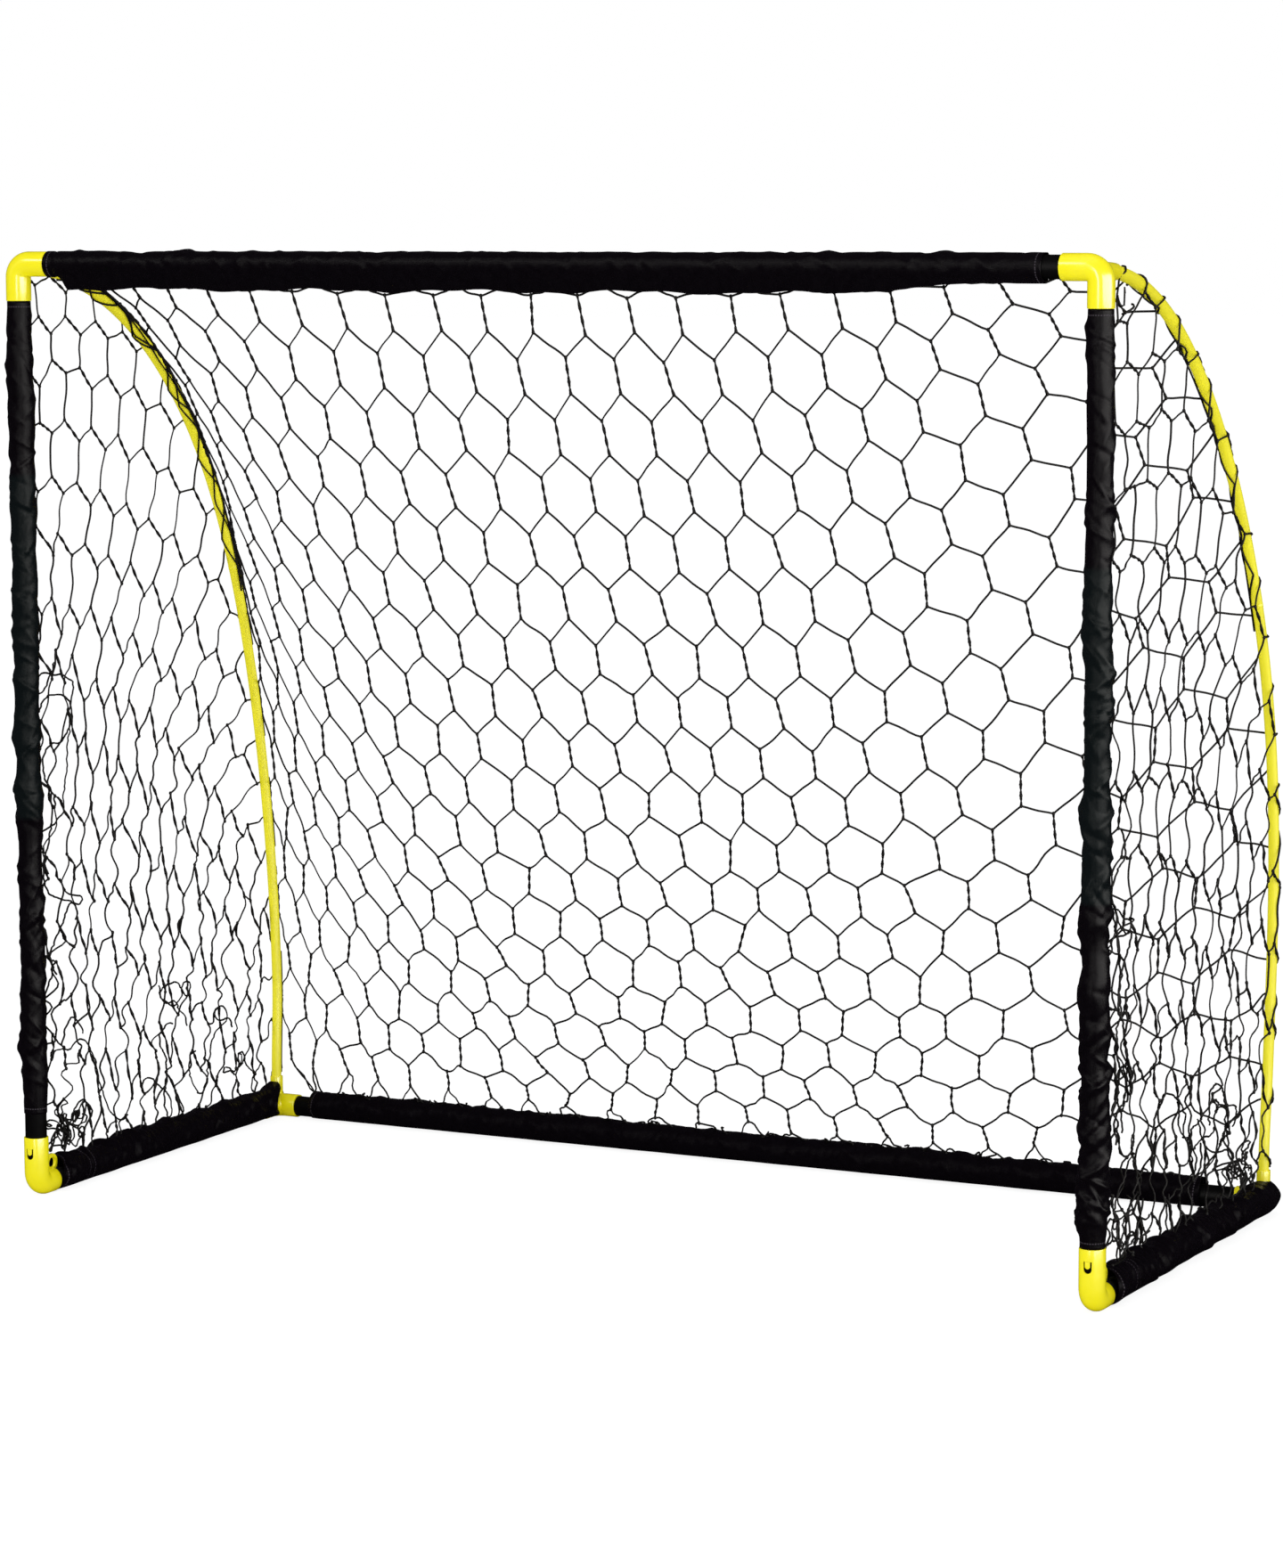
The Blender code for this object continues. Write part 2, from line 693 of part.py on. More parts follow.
def cloth_rings(start, end, spacing, across, up, outline):
    """Rings of a cloth sleeve; outline gives across and up offsets for a place and an angle."""
    start, end = Vector(start), Vector(end)
    length = (end - start).length
    count = max(3, round(length / spacing))
    rings = []
    for index in range(count + 1):
        place = index / count
        centre = start.lerp(end, place)
        ring = []
        for step in range(SLEEVE_SIDES):
            angle = 2 * math.pi * step / SLEEVE_SIDES
            right, rise = outline(place * length, angle)
            ring.append(centre + right * across + rise * up)
        rings.append(ring)
    return rings


def make_crossbar_sleeve():
    """Sleeve round the crossbar, whose loose lower edge hangs below the tube."""

    def outline(place, angle):
        drop = CROSSBAR_SLEEVE_HANG if math.sin(angle) < 0 else 0.0
        crease = SLEEVE_DENT * ripple(place, angle) * abs(math.sin(angle))
        radius = POST_SLEEVE_RADIUS
        return radius * math.cos(angle), (radius + drop - crease) * math.sin(angle)

    left = (-HALF_WIDTH + TOP_LEG + 2 * GAP, 0, BAR_Z)
    right = (HALF_WIDTH - TOP_LEG - CROSSBAR_BARE_RIGHT, 0, BAR_Z)
    body = loft(cloth_rings(left, right, LONG_RING_SPACING, Y_AXIS, Z_AXIS, outline))
    return bored(body, left, right, TUBE_RADIUS + GAP)


def make_post_sleeve(hand):
    """Sleeve round a post, from the top corner down to the foot elbow."""

    def outline(place, angle):
        crease = SLEEVE_DENT * ripple(place + hand, angle) * abs(math.cos(angle))
        radius = POST_SLEEVE_RADIUS - crease
        return radius * math.cos(angle), radius * math.sin(angle)

    x = hand * HALF_WIDTH
    bare = POST_BARE_LEFT if hand < 0 else 2 * GAP
    bottom = (x, 0, BASE_Z + FOOT_SOCKET_HEIGHT + bare)
    top = (x, 0, BAR_Z - TOP_LEG - 2 * GAP)
    body = loft(cloth_rings(bottom, top, LONG_RING_SPACING, X_AXIS, Y_AXIS, outline))
    return bored(body, bottom, top, TUBE_RADIUS + GAP)


def base_outline(width, height, dent):
    """Outline of a sleeve that lies on the ground round a base tube."""
    middle = GROUND_GAP + height / 2 - BASE_Z

    def outline(place, angle):
        gather = 0.5 + 0.5 * math.cos(2 * math.pi * place / GATHER_PITCH + 2 * math.cos(angle))
        folds = GATHER_SHARE * gather + (1 - GATHER_SHARE) * ripple(place, angle)
        crease = dent * folds * max(math.sin(angle), 0.0)
        return width / 2 * math.cos(angle), middle + (height / 2 - crease) * math.sin(angle)

    return outline


def side_sleeve_start():
    """The side sleeve begins where the loose cuff over the hinge ends."""
    return FOOT_LEG + 2 * GAP + CUFF_LENGTH + 2 * GAP


def make_side_sleeve(hand):
    """Gathered sleeve round a side tube, up to the rear corner."""
    x = hand * HALF_WIDTH
    start = (x, side_sleeve_start(), BASE_Z)
    end = (x, BASE_DEPTH - BEND_RADIUS - 2 * GAP, BASE_Z)
    shape = base_outline(BASE_SLEEVE_WIDTH, BASE_SLEEVE_HEIGHT, GATHER_DENT)
    body = loft(cloth_rings(start, end, GATHER_PITCH / 2, X_AXIS, Z_AXIS, shape))
    leg_start = (x, BASE_DEPTH - REAR_LEG - 2 * GAP, BASE_Z)
    leg_end = (x, BASE_DEPTH, BASE_Z)
    leg = rod(leg_start, leg_end, FITTING_RADIUS + GAP, FITTING_SIDES)
    return cut(bored(body, start, end, TUBE_RADIUS + GAP), leg)


def make_hinge_cuff(hand):
    """Loose gathered end of the side sleeve, which hides the fold hinge."""
    x = hand * HALF_WIDTH
    start = (x, FOOT_LEG + 2 * GAP, BASE_Z)
    end = (x, side_sleeve_start() - 2 * GAP, BASE_Z)
    shape = base_outline(BASE_SLEEVE_WIDTH, BASE_SLEEVE_HEIGHT, GATHER_DENT)
    body = loft(cloth_rings(start, end, GATHER_PITCH / 2, X_AXIS, Z_AXIS, shape))
    centre = Vector((x, EYELET_SETBACK, BASE_Z + FITTING_RADIUS - EYELET_SINK + EYELET_OUTER_RADIUS))
    slit = X_AXIS * EYELET_SLIT_WIDTH / 2
    eyelet = rod(centre - slit, centre + slit, EYELET_OUTER_RADIUS + GAP, FITTING_SIDES)
    return cut(bored(body, start, end, FORK_RADIUS + GAP), eyelet)


def make_rear_sleeve():
    """Sleeve round the rear tube, short of both corners."""
    left = (-HALF_WIDTH + REAR_LEG + REAR_BARE_LEFT, BASE_DEPTH, BASE_Z)
    right = (HALF_WIDTH - REAR_LEG - REAR_BARE_RIGHT, BASE_DEPTH, BASE_Z)
    shape = base_outline(REAR_SLEEVE_WIDTH, REAR_SLEEVE_HEIGHT, SLEEVE_DENT)
    body = loft(cloth_rings(left, right, LONG_RING_SPACING, Y_AXIS, Z_AXIS, shape))
    return bored(body, left, right, TUBE_RADIUS + GAP)


# Nets


def along(points, share):
    """The point at a share of the length of a line of points."""
    lengths = [(after - before).length for before, after in zip(points, points[1:])]
    left = min(max(share, 0.0), 1.0) * sum(lengths)
    for before, after, length in zip(points, points[1:], lengths):
        if left <= length:
            return before.lerp(after, left / length)
        left -= length
    return points[-1]


def net_levels(rows, leg_share, shrink, first, last):
    """Shares of a net's height at its levels of knots: two for each row of cells, and both ends."""
    levels, spot = [0.0], first
    for row in range(rows):
        pitch = 1 - (1 - shrink) * row / (rows - 1)
        levels += [spot, spot + leg_share * pitch]
        spot += pitch
    levels.append(levels[-1] + last * pitch)
    return [level / levels[-1] for level in levels]


def net_web(columns, levels, surface):
    """A honeycomb net of three-sided strands; surface gives the point at u across and v along."""
    web = bmesh.new()
    rows = len(levels) // 2 - 1
    cells = {(2 * column + 1 + row % 2, row) for row in range(rows) for column in range(columns - row % 2)}
    made = {}
    knot_of = {}

    def knots(cell):
        """The six knots round a cell, from its first level, as half columns and levels."""
        half, row = cell
        base = 2 * row
        return (
            (half, base),
            (half + 1, base + 1),
            (half + 1, base + 2),
            (half, base + 3),
            (half - 1, base + 2),
            (half - 1, base + 1),
        )

    def neighbours(cell):
        """The six cells round a cell, one across each side."""
        half, row = cell
        return (
            (half + 1, row - 1),
            (half + 2, row),
            (half + 1, row + 1),
            (half - 1, row + 1),
            (half - 2, row),
            (half - 1, row - 1),
        )

    def middle(row):
        """The share at the middle of a row of cells, also of the rows just outside the net."""
        inner = min(max(row, 0), rows - 1)
        low, high = levels[2 * inner], levels[2 * inner + 3]
        return (low + high) / 2 + (row - inner) * OUTER_CELL_SHARE * (high - low)

    def knot_frame(knot):
        """A knot's point and the net's two slopes there."""
        u, v = knot[0] / (2 * columns), levels[knot[1]]
        low_u, high_u = max(u - NET_PROBE, 0), min(u + NET_PROBE, 1)
        low_v, high_v = max(v - NET_PROBE, 0), min(v + NET_PROBE, 1)
        slope_u = (surface(high_u, v) - surface(low_u, v)) / (high_u - low_u)
        slope_v = (surface(u, high_v) - surface(u, low_v)) / (high_v - low_v)
        return surface(u, v), slope_u, slope_v

    def add_vertex(key, knot, point):
        """Make a vertex and remember which knot it belongs to."""
        made[key] = web.verts.new(point)
        knot_of[made[key]] = knot

    def edge_vertex(cell, knot):
        """A corner of the gap in a cell: the knot moved half a strand into the cell."""
        if (cell, knot) not in made:
            point, slope_u, slope_v = knot_frame(knot)
            toward_u = (cell[0] - knot[0]) / (2 * columns)
            toward_v = middle(cell[1]) - levels[knot[1]]
            inward = (slope_u * toward_u + slope_v * toward_v).normalized()
            depth = slope_u.cross(slope_v).normalized() * NET_THICKNESS / 2
            add_vertex((cell, knot), knot, point + inward * NET_STRAND / 2 - depth)
        return made[cell, knot]

    def ridge_vertex(knot):
        """The point where the ridges of a knot's strands meet."""
        if knot not in made:
            point, slope_u, slope_v = knot_frame(knot)
            add_vertex(knot, knot, point + slope_u.cross(slope_v).normalized() * NET_THICKNESS / 2)
        return made[knot]

    done = set()
    for cell in sorted(cells):
        corners = knots(cell)
        beside = neighbours(cell)
        for side in range(6):
            first, second = corners[side], corners[(side + 1) % 6]
            before, after = beside[side - 1], beside[side]
            if frozenset((first, second)) not in done:
                done.add(frozenset((first, second)))
                pairs = ((cell, first), (cell, second), (after, second), (after, first))
                web.faces.new([edge_vertex(*pair) for pair in pairs])
            if first not in done:
                done.add(first)
                pairs = ((cell, first), (after, first), (before, first))
                web.faces.new([edge_vertex(*pair) for pair in pairs])
    for edge in [edge for edge in web.edges if edge.is_boundary]:
        start, end = edge.verts
        ridge = [ridge_vertex(knot_of[end]), ridge_vertex(knot_of[start])]
        web.faces.new([start, end, *dict.fromkeys(ridge)])
    bmesh.ops.recalc_face_normals(web, faces=web.faces)
    return web


def add_net(name, web, material, carrier):
    """Add a net with flat faces, so that its three-sided strands stay crisp."""
    add_node(name, web, material, carrier).data.shade_flat()


def rear_net_surface():
    """The rear net follows both poles at its edges and sags forward like a hammock between them."""
    low = REAR_SOCKET_TOP + NET_STRAND + 2 * NET_CLEARANCE
    high = arch_height(POLE_STUB_LENGTH + 2 * NET_STRAND)
    edge = {}
    for hand in (-1, 1):
        edge[hand] = []
        for point in arch_path(hand, high, low):
            above = arch_point(point.z + NET_PROBE, hand)
            tangent = (above - point).normalized()
            back = Vector((0, tangent.z, -tangent.y)).normalized()
            offset = pole_radius(point.z) + NET_OFFSET + NET_CORNER_ROOM
            edge[hand].append(point + offset * (back - hand * X_AXIS).normalized())
    sleeve_top = GROUND_GAP + REAR_SLEEVE_HEIGHT
    foot = Vector((0, BASE_DEPTH, sleeve_top + NET_CLEARANCE + NET_STRAND / 2 - NET_FOOT_SINK))
    hang = POST_SLEEVE_RADIUS + CROSSBAR_SLEEVE_HANG + NET_HEAD_ROOM + NET_STRAND / 2
    head = Vector((0, 0, BAR_Z - hang))
    sag = Vector((0, NET_SAG_SETBACK, NET_SAG_HEIGHT))
    shares = [step / NET_SAG_STEPS for step in range(NET_SAG_STEPS + 1)]
    sag_line = [head.lerp(sag, share).lerp(sag.lerp(foot, share), share) for share in shares]

    def surface(u, v):
        across = 2 * u - 1
        rim = along(edge[-1 if across < 0 else 1], v)
        spot = along(sag_line, v).lerp(rim, abs(across) ** NET_DRAW_POWER)
        spot.x = abs(across) * rim.x
        return spot

    return surface


def side_net_surface(hand):
    """A side net runs from the back of the post sleeve to the outside of the arch pole."""
    low = REAR_SOCKET_TOP + NET_STRAND + 2 * NET_CLEARANCE
    high = arch_height(POLE_STUB_LENGTH + 5 * NET_STRAND)
    rim = []
    for point in reversed(arch_path(hand, high, low)):
        rim.append(point + X_AXIS * hand * (pole_radius(point.z) + NET_OFFSET))
    front = POST_SLEEVE_RADIUS + NET_CLEARANCE + NET_STRAND / 2
    eyelet_top = BASE_Z + FITTING_RADIUS - EYELET_SINK + 2 * EYELET_OUTER_RADIUS
    foot = Vector((hand * HALF_WIDTH, front, eyelet_top + NET_STRAND))
    head = Vector((hand * HALF_WIDTH, front, BAR_Z - TOP_LEG - NET_STRAND))
    sleeve_top = GROUND_GAP + BASE_SLEEVE_HEIGHT + NET_CLEARANCE + NET_STRAND / 2
    dip = max((foot.z + low) / 2 - sleeve_top, 0.0)

    def surface(u, v):
        spot = foot.lerp(head, v).lerp(along(rim, v), u)
        spot.z -= dip * math.sin(math.pi * u) ** 2 * (1 - v) ** NET_DIP_POWER
        return spot

    return surface


# Assembly


def make_materials():
    """The goal's finishes."""
    return {
        "yellow": make_material("optic yellow plastic", (0.90, 0.82, 0.02), 0.28),
        "pole": make_material("yellow pole", (0.88, 0.80, 0.03), 0.35),
        "tube": make_material("black coated steel", (0.012, 0.012, 0.013), 0.42, 0.3),
        "spigot": make_material("bare steel", (0.45, 0.45, 0.46), 0.35, 1.0),
        "hinge": make_material("black nylon plastic", (0.015, 0.015, 0.015), 0.5),
        "cloth": make_material("black sleeve cloth", (0.012, 0.010, 0.012), 0.55),
        "twine": make_material("black twine", (0.010, 0.010, 0.010), 0.85),
    }


def add_front_frame(goal, looks):
    """Posts, crossbar, fittings, arch poles and the cloth and nets that they carry."""
    crossbar_end = HALF_WIDTH - TUBE_STOP - GAP
    middle = post_joint_height()
    add_node("crossbar_spigot", spigot((0, 0, BAR_Z), X_AXIS), looks["spigot"], goal)
    add_node("crossbar_sleeve", make_crossbar_sleeve(), looks["cloth"], goal)
    for side, hand in SIDES:
        x = hand * HALF_WIDTH
        bar = tube((hand * GAP / 2, 0, BAR_Z), (hand * crossbar_end, 0, BAR_Z))
        post = tube((x, 0, middle + GAP / 2), (x, 0, BAR_Z - TUBE_STOP - GAP))
        add_node(f"crossbar_tube_{side}", bar, looks["tube"], goal)
        add_node(f"upper_post_{side}", post, looks["tube"], goal)
        add_node(f"lower_post_{side}", make_lower_post(hand), looks["tube"], goal)
        add_node(f"post_spigot_{side}", spigot((x, 0, middle), Z_AXIS), looks["spigot"], goal)
        add_node(f"top_corner_{side}", make_top_corner(hand), looks["yellow"], goal)
        add_node(f"foot_elbow_{side}", make_foot_elbow(hand), looks["yellow"], goal)
        add_node(f"post_sleeve_{side}", make_post_sleeve(hand), looks["cloth"], goal)
        add_node(f"hinge_fork_{side}", make_hinge_fork(hand), looks["hinge"], goal)
        add_node(f"hinge_pin_{side}", make_hinge_pin(hand), looks["spigot"], goal)
        add_node(f"hinge_cuff_{side}", make_hinge_cuff(hand), looks["cloth"], goal)
        add_node(f"upper_pole_{side}", make_upper_pole(hand), looks["pole"], goal)
        add_node(f"lower_pole_{side}", make_lower_pole(hand), looks["pole"], goal)
        add_node(f"pole_ferrule_{side}", ferrule_rod(hand, 0.0), looks["spigot"], goal)
        side_end = 1 - SIDE_LEG_SHARE
        levels = net_levels(SIDE_NET_ROWS, SIDE_LEG_SHARE, 1.0, side_end, side_end)
        net = net_web(SIDE_NET_COLUMNS, levels, side_net_surface(hand))
        add_net(f"side_net_{side}", net, looks["twine"], goal)
    levels = net_levels(REAR_NET_ROWS, REAR_LEG_SHARE, REAR_ROW_SHRINK, REAR_HEAD_SHARE, REAR_FOOT_SHARE)
    rear = net_web(REAR_NET_COLUMNS, levels, rear_net_surface())
    add_net("rear_net", rear, looks["twine"], goal)


def add_snap_tongues(goal, looks):
    """Each tongue bends about its root, at the top of its window."""
    for side, hand in SIDES:
        root = make_empty(f"tongue_root_{side}", (hand * HALF_WIDTH, TONGUE_HINGE_Y, TONGUE_TOP), goal)
        add_node(f"snap_tongue_{side}", make_snap_tongue(hand), looks["yellow"], root)


def add_base_frame(goal, looks):
    """The U-shaped base, which folds up about the pins behind the foot elbows."""
    fold = make_empty("base_fold_axis", (0, PIVOT_SETBACK, BASE_Z), goal)
    y = BASE_DEPTH
    tube_front = PIVOT_SETBACK + BLADE_REACH
    rear_end = HALF_WIDTH - TUBE_STOP - GAP
    add_node("rear_spigot", spigot((0, y, BASE_Z), X_AXIS), looks["spigot"], fold)
    add_node("rear_sleeve", make_rear_sleeve(), looks["cloth"], fold)
    for side, hand in SIDES:
        x = hand * HALF_WIDTH
        rail = tube((x, tube_front, BASE_Z), (x, y - TUBE_STOP - GAP, BASE_Z))
        bar = tube((hand * GAP / 2, y, BASE_Z), (hand * rear_end, y, BASE_Z))
        add_node(f"hinge_blade_{side}", make_hinge_blade(hand), looks["hinge"], fold)
        add_node(f"side_tube_{side}", rail, looks["tube"], fold)
        add_node(f"rear_tube_{side}", bar, looks["tube"], fold)
        add_node(f"rear_corner_{side}", make_rear_corner(hand), looks["yellow"], fold)
        add_node(f"side_sleeve_{side}", make_side_sleeve(hand), looks["cloth"], fold)


def main():
    """Build every piece of the goal."""
    clear_scene()
    looks = make_materials()
    goal = make_empty("goal_frame", (0, 0, 0))
    goal.location = (0, POST_Y, 0)
    add_front_frame(goal, looks)
    add_snap_tongues(goal, looks)
    add_base_frame(goal, looks)


main()
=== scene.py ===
# %% [markdown]
# A folding soccer goal: a steel tube frame with moulded yellow corners, black cloth sleeves,
# two bowed poles that hold it open, and a honeycomb net that is laced round the poles. The CAD
# model gives every part its place and its joints. This lesson dresses it: smooth tubes and
# corners, creased cloth, and a net of real strands, all in the place that the CAD gives.

# %% Load the frame
import math

import bmesh
import bpy
import numpy as np
from mathutils import Matrix, Vector


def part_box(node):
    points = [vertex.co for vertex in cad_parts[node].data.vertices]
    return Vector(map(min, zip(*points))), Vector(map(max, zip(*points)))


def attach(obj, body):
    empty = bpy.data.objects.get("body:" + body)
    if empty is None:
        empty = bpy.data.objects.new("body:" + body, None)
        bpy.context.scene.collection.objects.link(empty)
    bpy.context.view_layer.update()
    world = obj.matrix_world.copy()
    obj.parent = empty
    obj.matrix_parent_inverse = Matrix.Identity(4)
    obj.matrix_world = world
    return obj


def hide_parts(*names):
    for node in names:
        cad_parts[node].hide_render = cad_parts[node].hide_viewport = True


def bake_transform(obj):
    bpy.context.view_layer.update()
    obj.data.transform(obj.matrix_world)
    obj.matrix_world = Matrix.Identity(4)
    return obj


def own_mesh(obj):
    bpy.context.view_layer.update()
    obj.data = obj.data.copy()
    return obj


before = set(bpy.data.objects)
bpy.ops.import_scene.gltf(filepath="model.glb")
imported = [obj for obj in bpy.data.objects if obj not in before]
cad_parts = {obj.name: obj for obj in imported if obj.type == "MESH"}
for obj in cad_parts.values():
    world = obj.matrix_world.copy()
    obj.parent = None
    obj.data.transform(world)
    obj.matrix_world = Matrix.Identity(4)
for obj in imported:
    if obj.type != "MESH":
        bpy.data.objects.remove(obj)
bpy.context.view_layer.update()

# %% [markdown]
# The pieces below are modelled round the axes of the real tubes, so those axes are read from
# the CAD once. The goal's mouth faces -Y, Z is up, and hand is -1 on the left and 1 on the right.

# %% Axes of the frame
def middle(node):
    """The centre of a CAD node's box."""
    low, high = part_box(node)
    return (Vector(low) + Vector(high)) / 2


POST_X = middle("lower_post_right").x
POST_Y = middle("lower_post_right").y
BAR_Z = middle("crossbar_tube_left").z
BASE_Z = middle("side_tube_left").z
REAR_Y = middle("rear_tube_left").y
TUBE_RADIUS = (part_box("crossbar_tube_left")[1][2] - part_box("crossbar_tube_left")[0][2]) / 2
HANDS = (("left", -1), ("right", 1))
print("post at", POST_X, POST_Y, "crossbar", BAR_Z, "base", BASE_Z, "rear", REAR_Y)

# %% [markdown]
# The camera stands low and to the right of the goal, far back with a long lens, as a product
# photograph is taken. Its angles and distance were worked out from the frame's own corners.

# %% Camera
CAMERA_PLACE = (3.265, -6.447, 1.588)
CAMERA_TURN = math.radians(26.84)
CAMERA_PITCH = math.radians(7.36)
CAMERA_ROLL = math.radians(-0.20)
FOCAL_PIXELS = 5145
IMAGE_SIZE = (1440, 1760)
AXIS_PIXEL = (723, 898)
SENSOR = 36

ahead = Vector((
    -math.sin(CAMERA_TURN) * math.cos(CAMERA_PITCH),
    math.cos(CAMERA_TURN) * math.cos(CAMERA_PITCH),
    -math.sin(CAMERA_PITCH),
))
level = Vector((math.cos(CAMERA_TURN), math.sin(CAMERA_TURN), 0))
above = level.cross(ahead)
right = math.cos(CAMERA_ROLL) * level + math.sin(CAMERA_ROLL) * above
up = math.cos(CAMERA_ROLL) * above - math.sin(CAMERA_ROLL) * level
bpy.ops.object.camera_add()
camera = bpy.context.active_object
camera.name = "photo_camera"
camera.matrix_world = Matrix.Translation(CAMERA_PLACE) @ Matrix((right, up, -ahead)).transposed().to_4x4()
camera.data.sensor_width = SENSOR
camera.data.lens = FOCAL_PIXELS * SENSOR / IMAGE_SIZE[1]
camera.data.shift_x = (IMAGE_SIZE[0] / 2 - AXIS_PIXEL[0]) / IMAGE_SIZE[1]
camera.data.shift_y = (AXIS_PIXEL[1] - IMAGE_SIZE[1] / 2) / IMAGE_SIZE[1]
camera.data.clip_end = 200
bpy.context.scene.camera = camera
print("lens", round(camera.data.lens, 1), "mm")

# %% [markdown]
# Every colour is written as a hex value, as in a paint program, and one function turns it into
# the linear numbers that Blender's shaders work with. Another small function adds a node.

# %% Colours and nodes
def linear(hex_colour):
    """An sRGB hex colour as linear red, green, blue and alpha."""
    parts = [int(hex_colour[place:place + 2], 16) / 255 for place in (0, 2, 4)]
    return (*[part / 12.92 if part <= 0.04045 else ((part + 0.055) / 1.055) ** 2.4 for part in parts], 1)


def add(tree, kind, settings=None, links=None):
    """Add a node, set its sockets or properties, and link outputs to its inputs.

    A node that is given as a link stands for its first output.
    """
    node = tree.nodes.new(kind)
    for name, value in (settings or {}).items():
        if isinstance(name, int) or name in node.inputs:
            node.inputs[name].default_value = value
        else:
            setattr(node, name, value)
    for name, source in (links or {}).items():
        output = source.outputs[0] if isinstance(source, bpy.types.Node) else source
        tree.links.new(output, node.inputs[name])
    return node


def new_material(name):
    """An empty material and its node tree."""
    material = bpy.data.materials.new(name)
    material.use_nodes = True
    material.node_tree.nodes.clear()
    return material, material.node_tree


# %% [markdown]
# A plain white studio. The camera sees white, while the light that falls on the goal is kept at
# a plain level, so that colours come out as they are written, and what shiny parts mirror is
# darker still, so that black cloth stays black. The floor shows white and keeps a faint shadow.

# %% Background and floor
AMBIENT = 0.76
MIRRORED = 0.04
FLOOR_SHARE = 0.78
FLOOR_GLOW = 1.14
SKY = linear("F4F6FA")
WHITE = linear("FFFFFF")
world = bpy.data.worlds.new("white_studio")
bpy.context.scene.world = world
world.use_nodes = True
sky = world.node_tree
sky.nodes.clear()
rays = add(sky, "ShaderNodeLightPath")
seen = add(
    sky, "ShaderNodeMath", {"operation": "MAXIMUM"},
    {0: rays.outputs["Is Camera Ray"], 1: rays.outputs["Is Transmission Ray"]},
)
light = add(sky, "ShaderNodeBackground", {"Color": SKY, "Strength": AMBIENT})
mirror = add(sky, "ShaderNodeBackground", {"Color": SKY, "Strength": MIRRORED})
white = add(sky, "ShaderNodeBackground", {"Color": WHITE, "Strength": 1.0})
dim = add(sky, "ShaderNodeMixShader", None, {0: rays.outputs["Is Glossy Ray"], 1: light, 2: mirror})
both = add(sky, "ShaderNodeMixShader", None, {0: seen, 1: dim, 2: white})
add(sky, "ShaderNodeOutputWorld", None, {"Surface": both})

floor_finish, tree = new_material("white_studio_floor")
rays = add(tree, "ShaderNodeLightPath")
share = add(
    tree, "ShaderNodeMath", {"operation": "MULTIPLY", 1: FLOOR_SHARE}, {0: rays.outputs["Is Camera Ray"]},
)
paint = add(
    tree, "ShaderNodeMix", {"data_type": "RGBA", 6: linear("F2F2F2"), 7: linear("202020")},
    {0: rays.outputs["Is Glossy Ray"]},
)
matt = add(tree, "ShaderNodeBsdfDiffuse", None, {"Color": paint.outputs[2]})
glow = add(tree, "ShaderNodeEmission", {"Color": WHITE, "Strength": FLOOR_GLOW})
mixed = add(tree, "ShaderNodeMixShader", None, {0: share, 1: matt, 2: glow})
add(tree, "ShaderNodeOutputMaterial", None, {"Surface": mixed})

bpy.ops.object.select_all(action="DESELECT")
bpy.ops.mesh.primitive_circle_add(vertices=96, radius=60, fill_type="NGON", location=(0, 0, 0))
floor = bpy.context.active_object
floor.name = "studio_floor"
floor.data.materials.append(floor_finish)

# %% [markdown]
# Soft boxes light the goal from the front, the sides and above. Nothing mirrors them, or the
# black cloth would look grey. A narrow strip in front, another high up and a wide sheet on the
# right do the opposite: they are only mirrored, as thin and broad white bands on the round
# plastic and as glints on the creases of the cloth, and add no other light.

# %% Lamps
LAMP_AIM = Vector((0, 0, 0.8))
LAMPS = (
    # name, turn from the front, distance, height, width, tall, power, only mirrored
    ("soft_front", 30, 5.6, 2.4, 2.2, 2.4, 40, False),
    ("soft_right", 92, 5.0, 1.9, 1.8, 2.6, 32, False),
    ("soft_left", -52, 5.4, 2.2, 1.8, 2.2, 30, False),
    ("overhead", 20, 1.2, 4.2, 3.0, 3.0, 36, False),
    ("soft_low", 14, 4.4, 0.7, 1.6, 0.9, 26, False),
    ("strip_left", 6, 5.2, 1.6, 0.7, 3.0, 90, True),
    ("strip_high", -27, 5.0, 4.2, 3.4, 1.0, 90, True),
    ("sheet_right", 74, 5.2, 1.6, 7.5, 3.0, 760, True),
)
for name, turn, distance, height, width, tall, power, mirrored_only in LAMPS:
    angle = math.radians(turn)
    place = Vector((distance * math.sin(angle), -distance * math.cos(angle), height))
    bpy.ops.object.light_add(type="AREA", location=place)
    lamp = bpy.context.active_object
    lamp.name = name
    lamp.data.shape = "RECTANGLE"
    lamp.data.size = width
    lamp.data.size_y = tall
    lamp.data.energy = power
    lamp.data.color = linear("FFFDF8")[:3]
    lamp.visible_diffuse = not mirrored_only
    lamp.visible_glossy = mirrored_only
    lamp.rotation_euler = (LAMP_AIM - place).to_track_quat("-Z", "Y").to_euler()
print("lamps:", len(LAMPS))

# %% [markdown]
# The corners are injection-moulded ABS in optic yellow: a smooth, fairly glossy plastic with a
# very slight orange peel and a colour that is even apart from a faint cloudiness. The scale of a
# noise is how many of its patches lie in a metre: 22 gives clouds of 45 mm, and 480 a peel of 2 mm.

